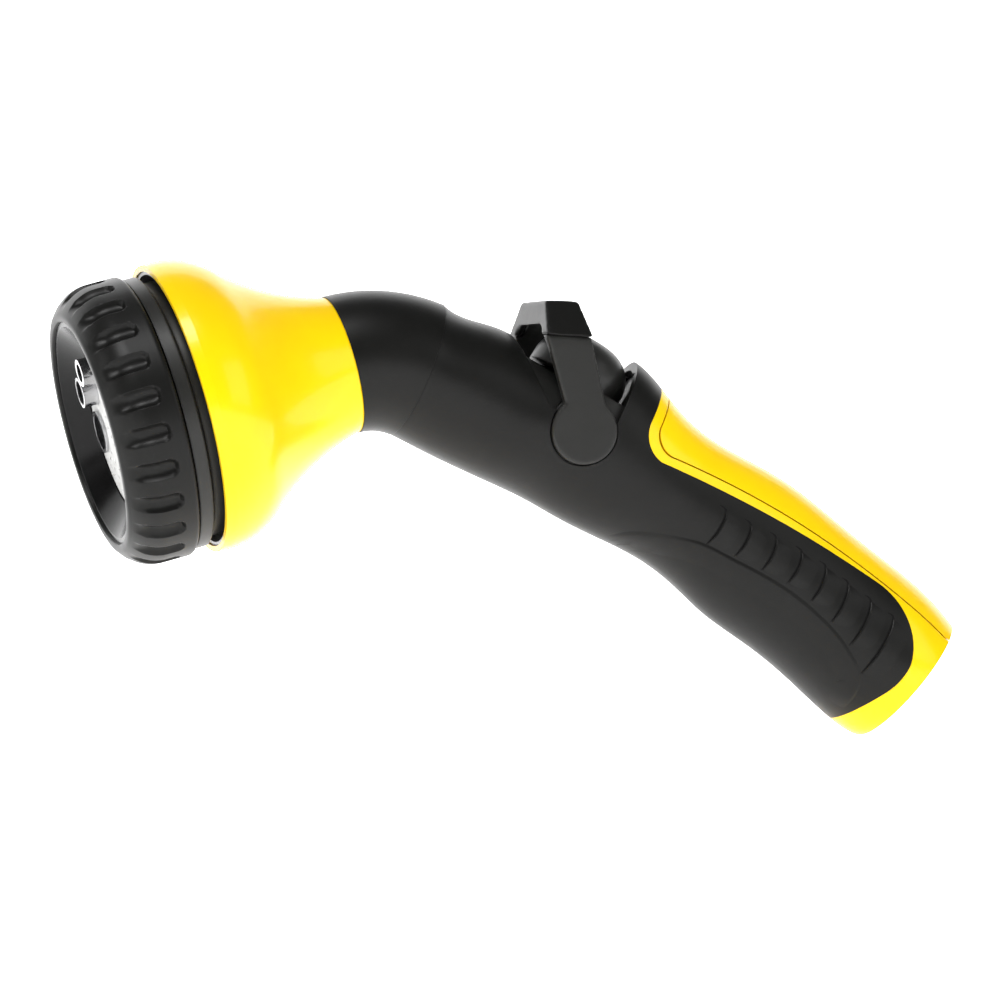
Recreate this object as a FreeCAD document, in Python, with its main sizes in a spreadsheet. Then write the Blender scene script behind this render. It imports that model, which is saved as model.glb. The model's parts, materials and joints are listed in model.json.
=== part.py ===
import FreeCAD, Part
import math
import os

import Sketcher

# Hose spray nozzle: a hand-held watering head with a turning pattern selector, a thumb-lever valve
# and a threaded hose inlet in the end of its handle. Millimetres and degrees.
#
# Frame of the whole part: origin at the centre of the hose inlet's mouth, +Z up, and the spray
# leaves towards -X. The plane y = 0 is the plane of symmetry of the body.
#
# Local frames. Each has its x axis along the piece and is turned about Y into place:
#   handle: origin at the inlet's mouth, x along the chord from the neck seam to the inlet
#   inlet:  origin at the inlet's mouth, x out of the mouth
#   neck:   origin at the centre of the elbow's bend
#   head:   origin at the bell's small end, x back along the spray axis, so "ahead" is -x
#   lever:  origin at the lever's pivot, z up the arms

SIZES = {
    # overall layout
    "handle_length": 159.6,     # straight line from the hose inlet to the neck seam
    "handle_pitch": 31.5,       # slope of that line
    "inlet_pitch": 7.9,         # further slope of the hose inlet
    "head_pitch": 15.1,         # slope of the spray axis
    "elbow_radius": 33.0,       # bend of the neck's centre line
    "body_split": 100.6,        # where valve body and handle core meet, from the inlet
    "fit_gap": 0.1,             # between pieces that are pushed together
    "part_gap": 0.35,           # parting line and clearance between moving outsides
    # outside of body and handle: height of the centre line, half height, half width
    "seam_half": 18.7,
    "root_at": 151.5, "root_rise": 0.9, "root_half": 18.9, "root_width": 18.6,
    "shoulder_at": 141.0, "shoulder_rise": 2.3, "shoulder_half": 19.3, "shoulder_width": 18.6,
    "cheek_at": 124.0, "cheek_rise": 4.8, "cheek_half": 19.6, "cheek_width": 18.6,
    "fence_at": 109.0, "fence_rise": 9.9, "fence_half": 23.5, "fence_width": 18.4,
    "shank_at": 98.0, "shank_rise": 8.9, "shank_half": 21.7, "shank_width": 18.1,
    "waist_at": 87.0, "waist_rise": 8.0, "waist_half": 19.5, "waist_width": 17.6,
    "palm_at": 66.0, "palm_rise": 7.5, "palm_half": 20.1, "palm_width": 17.2,
    "grip_at": 42.0, "grip_rise": 5.7, "grip_half": 20.9, "grip_width": 17.8,
    "heel_at": 20.0, "heel_rise": 2.9, "heel_half": 21.3, "heel_width": 18.9,
    "lip_at": 9.5, "lip_rise": 1.4, "lip_half": 21.4, "lip_width": 19.7,
    "end_half": 19.5, "end_width": 19.2,
    "skin_wall": 2.6,           # soft skin and top cover
    "core_wall": 2.4,           # hard core under them
    # yellow rim, and the top cover inside it
    "rim_front": 100.3, "rim_corner_top": 19.5, "rim_corner_at": 92.5, "rim_corner_low": 11.9,
    "rim_rear_at": 24.0, "rim_rear_top": 16.2, "rim_turn_at": 5.6, "rim_turn_low": 1.5,
    "rim_knee_at": 7.2, "rim_knee_low": 8.5, "rim_foot_at": 14.9, "rim_foot_low": 26.0,
    "rim_corner_radius": 8.0, "rim_side_radius": 346.0, "rim_heel_radius": 19.4,
    "rim_foot_radius": 19.8,
    "cover_inset": 2.9,         # cover's edge inside the rim's edge, at the front
    "cover_side_low": 14.7, "cover_end_low": 13.2, "cover_corner_radius": 6.0,
    "cover_side_radius": 240.0,
    # lever valve
    "pivot_at": 115.5, "pivot_rise": 7.7,
    "rotor_radius": 9.2, "rotor_half": 12.8, "rotor_port": 2.9,
    "journal_radius": 5.6, "drive_half": 18.0, "drive_square": 7.0,
    "running_gap": 0.05,
    "cheek_face": 15.6,         # outside of the valve body under the arms
    "barrel_wall": 2.2,
    "way_radius": 6.0,          # water bores of the valve body
    "seat_outer": 7.6, "seat_length": 3.8,
    "bonnet_at": 121.0, "bonnet_radius": 13.4, "deck": 19.6, "deck_wall": 2.4, "bonnet_top": 32.0,
    "bonnet_round": 9.5, "bonnet_wall": 2.2,
    # the fan-shaped recess that the arms swing in, seen from the side
    "fan_front_at": 143.5, "fan_front_high": 21.5, "fan_low_at": 126.5, "fan_low": 8.3,
    "fan_rear_at": 108.6, "fan_rear_low": 14.0, "fan_rear_lean": 1.3, "fan_top": 45.0,
    "bonnet_room": 0.8,
    # thumb lever
    "lever_lean": 12.5, "lever_disc": 9.0, "arm_inner": 16.1, "arm_outer": 19.4,
    "arm_front": 3.7, "arm_front_top": 4.7, "arm_back": 7.1,
    "tunnel_spring": 23.2, "tunnel_corner": 7.0,
    "pad_front_low": 27.4, "pad_back_low": 23.9, "pad_front_foot": 5.1, "pad_back_foot": 7.3,
    "pad_front_top": 1.6, "pad_back_top": 7.4, "pad_top_front": 36.1, "pad_top_back": 34.1,
    "pad_slope": 16.3, "pad_foot_at": 24.9, "pad_foot_half": 21.6, "pad_top_at": 34.5,
    "pad_top_half": 13.0, "pad_wall": 1.8,
    # neck
    "neck_outer": 18.8, "neck_core": 15.5, "neck_bore": 9.6, "stub_outer": 12.2,
    "stub_length": 12.0, "ring_section": 1.1, "ring_recess": 2.6,
    # bell
    "bell_small": 18.5, "bell_wall": 1.6, "flare_turn_at": 28.2, "flare_concave": 61.6,
    "flare_convex": 21.6,
    "bell_crown_at": 43.0, "bell_crown": 39.5, "bell_rim_at": 45.8, "bell_rim": 39.3,
    "liner_wall": 0.9, "liner_start": 36.0,
    # head manifold
    "socket_outer": 16.8, "socket_end": 10.5, "drum_at": 38.5, "drum_radius": 34.6,
    "drum_wall": 3.0, "collar_at": 47.6, "collar_radius": 36.9, "collar_face": 52.2,
    "face_wall": 3.2, "post_radius": 4.9, "post_top": 56.1, "pilot_radius": 1.6,
    "boss_radius": 5.6, "boss_at": 42.0,
    "port_offset": 16.0, "port_bore": 5.2, "port_floor": 45.2, "port_way": 3.2,
    "port_wall": 1.8, "seal_length": 5.6,
    "detent_offset": 27.0, "detent_radius": 1.8, "detent_floor": 44.6, "detent_length": 4.0,
    "dish_thick": 0.6, "detent_wire": 0.35,
    # turning head
    "face_gap": 0.2, "ring_rear": 52.6, "ring_edge": 1.2, "ring_radius": 38.2,
    "ring_shoulder": 61.0, "ring_front": 70.3, "ring_lip": 33.3, "ring_nose": 70.9,
    "ring_nose_radius": 31.9, "ring_inner": 33.4, "ring_lip_inner": 30.4, "ring_step": 68.4,
    "ring_curve": 11.3,
    "flute_count": 24, "flute_radius": 2.4, "flute_depth": 1.5, "flute_rear": 57.0,
    "flute_sweep": 48.0,        # degrees that each flute runs round the ring's front curve
    "cup_mouth": 29.0, "cup_front": 70.0, "cup_floor": 22.6, "cup_floor_at": 64.4,
    "cup_wall": 2.2, "cup_back": 53.2, "sleeve_wall": 2.0, "sleeve_back": 61.0,
    "face_radius": 23.1, "face_at": 64.0, "face_thick": 1.0,
    "plate_thick": 3.2, "chamber_wall": 1.2, "plate_ports": 8, "plate_port_radius": 2.6,
    "station_lag": 4.0,         # the pattern in use stands this far from straight up
    "nozzle_offset": 16.0, "rim_proud": 0.8,
    "cone_offset": 16.4, "cone_outer": 5.2, "cone_bore": 4.7, "cone_rim": 5.8,
    "jet_outer": 4.2, "jet_bore": 3.3, "jet_top": 68.0,
    "mist_outer": 3.75, "mist_bore": 2.5, "mist_top": 68.9,
    "side_outer": 3.0, "side_bore": 1.8,
    "spray_hole": 0.45, "spray_step": 3.4,
    "washer_radius": 7.0, "washer_thick": 0.8, "screw_head": 3.6, "screw_head_height": 2.2,
    "screw_foot": 44.5,
    # hose inlet
    "thread_radius": 12.4, "thread_depth": 14.5,
    "fitting_outer": 15.8, "fitting_length": 26.0, "washer_recess": 2.8, "recess_radius": 13.3,
    "hose_bore": 7.0, "tube_outer": 8.8, "tube_bore": 6.6, "tube_seat": 19.6, "tube_end": 98.6,
    "tube_socket": 5.8, "socket_gap": 0.2, "screen_thick": 0.6, "screen_hole": 0.6, "tube_lead": 0.6,
    "end_wall": 3.5,
}

document = FreeCAD.newDocument("HoseSprayNozzle")
sheet = document.addObject("Spreadsheet::Sheet", "Sizes")
for row, (alias, number) in enumerate(SIZES.items(), start=1):
    sheet.set("A%d" % row, alias)
    sheet.set("B%d" % row, str(number))
    sheet.setAlias("B%d" % row, alias)
document.recompute()


class Dim:
    """A size kept twice: its number now, and the expression that binds it to the sheet."""

    def __init__(self, number, text):
        self.number = float(number)
        self.text = text

    def _join(self, other, sign, number):
        return Dim(number, "(%s %s %s)" % (self.text, sign, other.text))

    def __add__(self, other):
        other = dim(other)
        return self._join(other, "+", self.number + other.number)

    def __sub__(self, other):
        other = dim(other)
        return self._join(other, "-", self.number - other.number)

    def __mul__(self, other):
        other = dim(other)
        return self._join(other, "*", self.number * other.number)

    def __truediv__(self, other):
        other = dim(other)
        return self._join(other, "/", self.number / other.number)

    def __rsub__(self, other):
        return dim(other) - self

    def __neg__(self):
        return Dim(-self.number, "(0 - %s)" % self.text)

    __radd__ = __add__
    __rmul__ = __mul__


def dim(thing):
    """A Dim from the name of a size, from a bare number, or unchanged."""
    if isinstance(thing, Dim):
        return thing
    if isinstance(thing, str):
        return Dim(SIZES[thing], "Sizes." + thing)
    return Dim(thing, "(%.6f)" % thing)


def sine(angle):
    angle = dim(angle)
    return Dim(math.sin(math.radians(angle.number)), "sin(%s)" % angle.text)


def cosine(angle):
    angle = dim(angle)
    return Dim(math.cos(math.radians(angle.number)), "cos(%s)" % angle.text)


def root(size):
    return Dim(math.sqrt(size.number), "sqrt(%s)" % size.text)


def arctangent(rise, run):
    """A plain number of degrees, like every other angle here."""
    return Dim(math.degrees(math.atan2(rise.number, run.number)),
               "(atan(%s / %s) / 1 deg)" % (rise.text, run.text))


def bind(thing, prop, size):
    """Bind one property of a document object to the sheet."""
    thing.setExpression(prop, dim(size).text)


# ---------------------------------------------------------------- frames

SEAM_PITCH = arctangent(dim("pivot_rise"), dim("handle_length") - dim("pivot_at"))
SEAM_SLOPE = dim("handle_pitch") - SEAM_PITCH
SEAM_X = -(dim("handle_length") * cosine("handle_pitch"))
SEAM_Z = dim("handle_length") * sine("handle_pitch")
BEND_X = SEAM_X - dim("elbow_radius") * sine(SEAM_SLOPE)
BEND_Z = SEAM_Z - dim("elbow_radius") * cosine(SEAM_SLOPE)
HEAD_X = BEND_X - dim("elbow_radius") * sine("head_pitch")
HEAD_Z = BEND_Z + dim("elbow_radius") * cosine("head_pitch")
PIVOT_X = dim("pivot_rise") * sine("handle_pitch") - dim("pivot_at") * cosine("handle_pitch")
PIVOT_Z = dim("pivot_rise") * cosine("handle_pitch") + dim("pivot_at") * sine("handle_pitch")

DOWN = FreeCAD.Vector(0, 1, 0)      # a positive turn about this axis slopes +x down
UP = FreeCAD.Vector(0, -1, 0)       # and about this one slopes it up
FRAMES = {
    "handle": (dim(0.0), dim(0.0), DOWN, dim("handle_pitch")),
    "inlet": (dim(0.0), dim(0.0), DOWN, dim("handle_pitch") + dim("inlet_pitch")),
    "head": (HEAD_X, HEAD_Z, UP, dim("head_pitch")),
    "seam": (SEAM_X, SEAM_Z, DOWN, SEAM_SLOPE),
    "lever": (PIVOT_X, PIVOT_Z, UP, dim("lever_lean")),
}
subparts = []


def place(thing, frame):
    """Put an object into one of the local frames and bind its place to the sheet."""
    x, z, axis, turn = FRAMES[frame]
    base = FreeCAD.Vector(x.number, 0, z.number)
    thing.Placement = FreeCAD.Placement(base, FreeCAD.Rotation(axis, turn.number))
    bind(thing, "Placement.Base.x", x)
    bind(thing, "Placement.Base.z", z)
    bind(thing, "Placement.Rotation.Angle", turn)


def finish(thing, label, frame):
    """Name a finished sub-part and put it in its frame."""
    thing.Label = label
    place(thing, frame)
    subparts.append(thing)
    return thing


# ---------------------------------------------------------------- sketches

class Curve:
    """The end of an arc in an outline: its point, radius and the side its centre lies on."""

    def __init__(self, x, z, radius, left):
        self.point = (dim(x), dim(z))
        self.radius = dim(radius)
        self.left = left


def arc_geometry(start, end, radius, left):
    """The arc of a circle from start to end; its centre is on the left or on the right."""
    chord = end - start
    half = chord.Length / 2
    height = math.sqrt(max(radius * radius - half * half, 0.0))
    side = FreeCAD.Vector(-chord.y, chord.x, 0).normalize()
    if not left:
        side = -side
    centre = start + chord / 2 + side * height
    first, last = (start, end) if left else (end, start)
    angle_1 = math.atan2(first.y - centre.y, first.x - centre.x)
    angle_2 = math.atan2(last.y - centre.y, last.x - centre.x)
    circle = Part.Circle(centre, FreeCAD.Vector(0, 0, 1), radius)
    return Part.ArcOfCircle(circle, angle_1, angle_2)


def fill_sketch(sketch, outline):
    """Draw a closed outline whose every corner and radius is bound to the sheet."""
    corners = [item.point if isinstance(item, Curve) else (dim(item[0]), dim(item[1])) for item in outline]
    flat = [FreeCAD.Vector(x.number, z.number, 0) for x, z in corners]
    starts = []
    for index, item in enumerate(outline):
        before = flat[index - 1]
        if isinstance(item, Curve):
            edge = arc_geometry(before, flat[index], item.radius.number, item.left)
            sketch.addGeometry(edge, False)
            starts.append((1, 2) if item.left else (2, 1))
        else:
            sketch.addGeometry(Part.LineSegment(before, flat[index]), False)
            starts.append((1, 2))
    count = len(outline)
    for index in range(count):
        following = (index + 1) % count
        sketch.addConstraint(Sketcher.Constraint(
            "Coincident", index, starts[index][1], following, starts[following][0]))
    for index, (x, z) in enumerate(corners):
        for kind, size in (("DistanceX", x), ("DistanceY", z)):
            number = sketch.addConstraint(Sketcher.Constraint(
                kind, -1, 1, index, starts[index][1], size.number))
            sketch.setExpression("Constraints[%d]" % number, size.text)
        if isinstance(outline[index], Curve):
            radius = outline[index].radius
            number = sketch.addConstraint(Sketcher.Constraint("Radius", index, radius.number))
            sketch.setExpression("Constraints[%d]" % number, radius.text)


def origin_plane(body, role):
    """One of the body's own origin planes or axes."""
    for item in body.Origin.OriginFeatures:
        if item.Role == role:
            return item
    raise ValueError("no " + role)


def turned(name, outline):
    """A body made by turning a half outline, given as (distance along x, radius), about x."""
    body = document.addObject("PartDesign::Body", name + "_body")
    sketch = body.newObject("Sketcher::SketchObject", name + "_outline")
    sketch.AttachmentSupport = (origin_plane(body, "XZ_Plane"), [""])
    sketch.MapMode = "FlatFace"
    fill_sketch(sketch, outline)
    solid = body.newObject("PartDesign::Revolution", name + "_turned")
    solid.Profile = sketch
    solid.ReferenceAxis = (sketch, ["H_Axis"])
    solid.Angle = 360
    body.Tip = solid
    return body


def rod(body, kind, name, low, high, radius, y=0.0, z=0.0):
    """A round boss or hole along x of a body, from low to high."""
    low, high, y, z = dim(low), dim(high), dim(y), dim(z)
    feature = body.newObject("PartDesign::%sCylinder" % kind, name)
    feature.AttachmentSupport = (origin_plane(body, "YZ_Plane"), [""])
    feature.MapMode = "FlatFace"
    bind(feature, "AttachmentOffset.Base.x", y)
    bind(feature, "AttachmentOffset.Base.y", z)
    bind(feature, "AttachmentOffset.Base.z", low)
    bind(feature, "Radius", radius)
    bind(feature, "Height", high - low)
    body.Tip = feature
    return feature


def hollow_ball(body, name, x, radius, z):
    """A round hollow cut into a body, with its centre at x and z."""
    feature = body.newObject("PartDesign::SubtractiveSphere", name)
    feature.AttachmentSupport = (origin_plane(body, "YZ_Plane"), [""])
    feature.MapMode = "FlatFace"
    bind(feature, "AttachmentOffset.Base.y", z)
    bind(feature, "AttachmentOffset.Base.z", x)
    bind(feature, "Radius", radius)
    body.Tip = feature
    return feature


def ring_of(body, name, features, count):
    """Repeat features of a body around x."""
    pattern = body.newObject("PartDesign::PolarPattern", name)
    pattern.Originals = features
    pattern.Axis = (origin_plane(body, "X_Axis"), [""])
    pattern.Angle = 360
    bind(pattern, "Occurrences", count)
    body.Tip = pattern
    return pattern


# ---------------------------------------------------------------- loose solids

def cylinder(name, axis, low, high, radius, x=0.0, y=0.0, z=0.0):
    """A round rod along x, y or z, from low to high along that axis."""
    low, high = dim(low), dim(high)
    solid = document.addObject("Part::Cylinder", name)
    start = {"x": dim(x), "y": dim(y), "z": dim(z)}
    start[axis] = start[axis] + low
    turns = {"x": (FreeCAD.Vector(0, 1, 0), 90), "y": (FreeCAD.Vector(-1, 0, 0), 90),
             "z": (FreeCAD.Vector(0, 0, 1), 0)}
    solid.Placement = FreeCAD.Placement(FreeCAD.Vector(), FreeCAD.Rotation(*turns[axis]))
    for letter in "xyz":
        bind(solid, "Placement.Base." + letter, start[letter])
    bind(solid, "Radius", radius)
    bind(solid, "Height", high - low)
    return solid


def slanted_rod(name, x, z, pitch, low, high, radius):
    """A round rod in the plane y = 0 that rises by pitch degrees towards +x through (x, z)."""
    x, z, low, pitch = dim(x), dim(z), dim(low), dim(pitch)
    solid = document.addObject("Part::Cylinder", name)
    turn = FreeCAD.Rotation(FreeCAD.Vector(0, 1, 0), 90 - pitch.number)
    solid.Placement = FreeCAD.Placement(FreeCAD.Vector(), turn)
    bind(solid, "Placement.Rotation.Angle", 90 - pitch)
    bind(solid, "Placement.Base.x", x + low * cosine(pitch))
    bind(solid, "Placement.Base.z", z + low * sine(pitch))
    bind(solid, "Radius", radius)
    bind(solid, "Height", dim(high) - low)
    return solid


def block(name, low, high):
    """A box between two corners."""
    solid = document.addObject("Part::Box", name)
    for letter, side, near, far in zip("xyz", ("Length", "Width", "Height"), low, high):
        bind(solid, "Placement.Base." + letter, near)
        bind(solid, side, dim(far) - dim(near))
    return solid


def prism(name, outline, low, high):
    """An outline in the plane y = 0, given as (x, z), made solid from y = low to y = high."""
    low, high = dim(low), dim(high)
    sketch = document.addObject("Sketcher::SketchObject", name + "_outline")
    upright = FreeCAD.Rotation(FreeCAD.Vector(1, 0, 0), 90)
    sketch.Placement = FreeCAD.Placement(FreeCAD.Vector(), upright)
    fill_sketch(sketch, outline)
    solid = document.addObject("Part::Extrusion", name)
    solid.Base = sketch
    solid.DirMode = "Custom"
    solid.Dir = FreeCAD.Vector(0, 1, 0)
    solid.Solid = True
    bind(solid, "LengthFwd", high)
    bind(solid, "LengthRev", -low)
    return solid


def cross_prism(name, outline, low, high):
    """An outline in the plane x = 0, given as (y, z), made solid from x = low to x = high."""
    low, high = dim(low), dim(high)
    sketch = document.addObject("Sketcher::SketchObject", name + "_outline")
    facing = FreeCAD.Rotation(FreeCAD.Vector(1, 1, 1), 120)
    sketch.Placement = FreeCAD.Placement(FreeCAD.Vector(), facing)
    fill_sketch(sketch, outline)
    solid = document.addObject("Part::Extrusion", name)
    solid.Base = sketch
    solid.DirMode = "Custom"
    solid.Dir = FreeCAD.Vector(1, 0, 0)
    solid.Solid = True
    bind(solid, "LengthFwd", high)
    bind(solid, "LengthRev", -low)
    return solid


def doughnut(name, bend, section, x=0.0, z=0.0, around="x"):
    """A closed ring of round section; its axis is x, y or z of its frame."""
    solid = document.addObject("Part::Torus", name)
    turns = {"x": (FreeCAD.Vector(0, 1, 0), 90), "y": (FreeCAD.Vector(-1, 0, 0), 90),
             "z": (FreeCAD.Vector(0, 0, 1), 0)}
    solid.Placement = FreeCAD.Placement(FreeCAD.Vector(), FreeCAD.Rotation(*turns[around]))
    bind(solid, "Placement.Base.x", x)
    bind(solid, "Placement.Base.z", z)
    bind(solid, "Radius1", bend)
    bind(solid, "Radius2", section)
    return solid


def fuse(name, *solids):
    union = document.addObject("Part::MultiFuse", name)
    union.Shapes = list(solids)
    return union


def seated(name, solid):
    """A holder for one solid, so that the solid's own place stays free of the frame's."""
    holder = document.addObject("Part::Compound", name)
    holder.Links = [solid]
    return holder


def cut(name, base, *tools):
    """Take one or more solids away from a base."""
    tool = tools[0] if len(tools) == 1 else fuse(name + "_tools", *tools)
    rest = document.addObject("Part::Cut", name)
    rest.Base = base
    rest.Tool = tool
    return rest


def common(name, *solids):
    shared = document.addObject("Part::MultiCommon", name)
    shared.Shapes = list(solids)
    return shared


def swept_circle(name, radius, bend, turn, axis, x=0.0):
    """A round tube's solid: a circle about x, swung through an angle about a point bend below it."""
    circle = document.addObject("Part::Circle", name + "_circle")
    facing = FreeCAD.Rotation(FreeCAD.Vector(0, 1, 0), 90)
    circle.Placement = FreeCAD.Placement(FreeCAD.Vector(), facing)
    bind(circle, "Radius", radius)
    bind(circle, "Placement.Base.x", x)
    solid = document.addObject("Part::Revolution", name)
    solid.Source = circle
    solid.Axis = axis
    solid.Solid = True
    bind(solid, "Base.x", x)
    bind(solid, "Base.z", -dim(bend))
    bind(solid, "Angle", turn)
    return solid


def tube(name, axis, low, high, outer, inner, y=0.0, z=0.0):
    """A straight tube along x or y."""
    wall = cylinder(name + "_wall", axis, low, high, outer, y=y, z=z)
    bore = cylinder(name + "_bore", axis, dim(low) - 1, dim(high) + 1, inner, y=y, z=z)
    return cut(name, wall, bore)


def coil(name, low, high, turns, radius, wire, y, z):
    """A coil spring along x."""
    low, high, radius, wire = dim(low), dim(high), dim(radius), dim(wire)
    helix = document.addObject("Part::Helix", name + "_line")
    bind(helix, "Height", high - low - wire * 2)
    bind(helix, "Pitch", (high - low - wire * 2) / turns)
    bind(helix, "Radius", radius)
    section = document.addObject("Part::Circle", name + "_wire")
    upright = FreeCAD.Rotation(FreeCAD.Vector(1, 0, 0), 90)
    section.Placement = FreeCAD.Placement(FreeCAD.Vector(radius.number, 0, 0), upright)
    bind(section, "Placement.Base.x", radius)
    bind(section, "Radius", wire)
    sweep = document.addObject("Part::Sweep", name + "_sweep")
    sweep.Sections = [section]
    sweep.Spine = (helix, ["Edge1"])
    sweep.Solid = True
    sweep.Frenet = True
    facing = FreeCAD.Rotation(FreeCAD.Vector(0, 1, 0), 90)
    sweep.Placement = FreeCAD.Placement(FreeCAD.Vector(), facing)
    bind(sweep, "Placement.Base.x", low + wire)
    bind(sweep, "Placement.Base.y", y)
    bind(sweep, "Placement.Base.z", z)
    return seated(name, sweep)


def dished_washer(name, low, high, y, z):
    """A conical spring washer about x: its small end bears forward on the seal."""
    low, high, thick = dim(low), dim(high), dim("dish_thick")
    cones = []
    for part, shift in (("outer", dim(0.0)), ("inner", thick)):
        cone = document.addObject("Part::Cone", "%s_%s" % (name, part))
        cone.Placement = FreeCAD.Placement(FreeCAD.Vector(), FreeCAD.Rotation(FreeCAD.Vector(0, 1, 0), 90))
        bind(cone, "Placement.Base.x", low)
        bind(cone, "Placement.Base.y", y)
        bind(cone, "Placement.Base.z", z)
        bind(cone, "Radius1", dim("port_way") + thick * 2 - shift)
        bind(cone, "Radius2", dim("port_bore") - dim("fit_gap") - shift)
        bind(cone, "Height", high - low)
        cones.append(cone)
    return cut(name, *cones)


def ahead(size):
    """A place in front of the bell's small end, in the head's frame."""
    return -dim(size)


# ---------------------------------------------------------------- outside of body and handle

STATIONS = ("root", "shoulder", "cheek", "fence", "shank", "waist", "palm", "grip", "heel", "lip")


def envelope(name, inset):
    """The outside of body and handle, or a copy of it that lies inset under the surface."""
    inset = dim(inset)
    rows = [(-dim("handle_length"), dim(0.0), SEAM_PITCH, dim("seam_half"), dim("seam_half"))]
    for station in STATIONS:
        rows.append((-dim(station + "_at"), dim(station + "_rise"), dim(0.0),
                     dim(station + "_half"), dim(station + "_width")))
    rows.append((dim(0.0), dim(0.0), -dim("inlet_pitch"), dim("end_half"), dim("end_width")))
    sections = []
    for index, (x, z, pitch, half, width) in enumerate(rows):
        section = document.addObject("Part::Ellipse", "%s_section_%d" % (name, index))
        turn = FreeCAD.Rotation(UP, 90 + pitch.number)
        section.Placement = FreeCAD.Placement(FreeCAD.Vector(x.number, 0, z.number), turn)
        bind(section, "Placement.Rotation.Angle", 90 + pitch)
        bind(section, "Placement.Base.x", x)
        bind(section, "Placement.Base.z", z)
        bind(section, "MajorRadius", half - inset)
        bind(section, "MinorRadius", width - inset)
        sections.append(section)
    loft = document.addObject("Part::Loft", name)
    loft.Sections = sections
    loft.Solid = True
    loft.Ruled = False
    return loft


FAR = dim(60.0)                     # past the outside of every piece
outside = envelope("outside", 0.0)
underskin = envelope("underskin", "skin_wall")
core_outside = envelope("core_outside", dim("skin_wall") + dim("running_gap"))
hollow = envelope("hollow", dim("skin_wall") + dim("core_wall"))


def yellow_prism(name, inset, gap):
    """Side view of the yellow area, or of the top cover inside it, made solid across the handle."""
    inset, gap = dim(inset), dim(gap)
    front = -dim("rim_front") + inset + gap
    top = FAR
    return prism(name, [
        (front, top),
        (front, dim("rim_corner_top") + gap),
        Curve(-dim("rim_corner_at") + inset, dim("rim_corner_low") + inset + gap,
              "rim_corner_radius", True),
        Curve(-dim("rim_rear_at"), dim("rim_rear_top") + inset * 0.6 + gap, "rim_side_radius", False),
        Curve(-dim("rim_turn_at"), "rim_turn_low", "rim_heel_radius", False),
        Curve(-dim("rim_knee_at"), -dim("rim_knee_low"), "rim_foot_radius", False),
        (-dim("rim_foot_at"), -dim("rim_foot_low")),
        (20.0, -dim("rim_foot_low")),
        (20.0, top),
    ], -FAR, FAR)


def cover_prism(name, gap):
    """Side view of the top cover, which stops short of the rim by the gap."""
    gap, inset = dim(gap), dim("cover_inset")
    return prism(name, [
        (-dim("rim_front") + inset + gap, FAR),
        (-dim("rim_front") + inset + gap, dim("rim_corner_top") + gap),
        Curve(-dim("rim_corner_at") + inset, dim("cover_side_low") + gap, "cover_corner_radius", True),
        Curve(0.0, dim("cover_end_low") + gap, "cover_side_radius", False),
        (20.0, dim("cover_end_low") + gap),
        (20.0, FAR),
    ], -FAR, FAR)


def fan_prism(name, low, high):
    """The recess that the lever's arms swing in."""
    fan = prism(name + "_fan", [
        (-dim("fan_low_at"), "fan_low"),
        (-dim("fan_rear_at"), "fan_rear_low"),
        (-(dim("fan_rear_at") + dim("fan_rear_lean")), "fan_top"),
        (-dim("fan_front_at"), "fan_top"),
        (-dim("fan_front_at"), "fan_front_high"),
    ], low, high)
    disc = cylinder(name + "_disc", "y", low, high, dim("lever_disc") + dim("part_gap"),
                    x=-dim("pivot_at"), z="pivot_rise")
    return fuse(name, fan, disc)


yellow_area = yellow_prism("yellow_area", 0.0, 0.0)
front_zone = block("front_zone", (-200.0, -FAR, -FAR), (-dim("body_split"), FAR, FAR))
rear_zone = block("rear_zone", (-dim("body_split") + dim("part_gap"), -FAR, -FAR), (FAR, FAR, FAR))

# grip_overmould: soft skin of the body and the grip
bonnet_clearance = cylinder("bonnet_clearance", "z", "deck", dim("bonnet_top") - dim("bonnet_wall"),
                            dim("bonnet_radius") + dim("bonnet_room"), x=-dim("bonnet_at"))
finish(cut("skin", outside, underskin, yellow_area, fan_prism("fan_all", -FAR, FAR),
           bonnet_clearance), "grip_overmould", "handle")

# handle_cover: yellow top cover inside the rim
cover_area = cover_prism("cover_area", "part_gap")
cover_skin = cut("cover_skin", outside, underskin)
finish(common("cover", cover_skin, cover_area), "handle_cover", "handle")

# handle_core: hard yellow core; its rim comes up to the surface around the cover
rim_area = cut("rim_area", yellow_area, cover_prism("cover_opening", 0.0))
rim_solid = common("rim_solid", outside, rim_area)
core_solid = common("core_solid", core_outside, rear_zone)
core_room = common("core_room", hollow, block(
    "core_room_zone", (-200.0, -FAR, -FAR), (-dim("end_wall"), FAR, FAR)))
fitting_bore = slanted_rod("fitting_bore", 0.0, 0.0, -dim("inlet_pitch"),
                           -dim("fitting_length") - 1, 5.0, dim("fitting_outer") + dim("fit_gap"))
finish(cut("core", fuse("core_full", core_solid, rim_solid), core_room, fitting_bore),
       "handle_core", "handle")

# ---------------------------------------------------------------- lever valve

BARREL = dim("rotor_radius") + dim("running_gap") + dim("barrel_wall")
SOCKET = dim("stub_outer") + dim("fit_gap")
RING_ROOM = dim("stub_outer") + dim("ring_section") * 2 + dim("running_gap")
TUBE_SOCKET = dim("tube_outer") + dim("socket_gap")
TUBE_ROOM = dim("tube_outer") + dim("ring_section") * 2 + dim("socket_gap")
SEAM_RUN = root(dim("pivot_rise") * dim("pivot_rise")
                + (dim("handle_length") - dim("pivot_at")) * (dim("handle_length") - dim("pivot_at")))


def at_pivot(name, axis, low, high, radius):
    return cylinder(name, axis, low, high, radius, x=-dim("pivot_at"), z="pivot_rise")


def from_seam(name, low, high, radius):
    return slanted_rod(name, -dim("handle_length"), 0.0, SEAM_PITCH, low, high, radius)


def to_rear(name, low, high, radius):
    return cylinder(name, "x", low, high, radius, z="pivot_rise")


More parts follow.
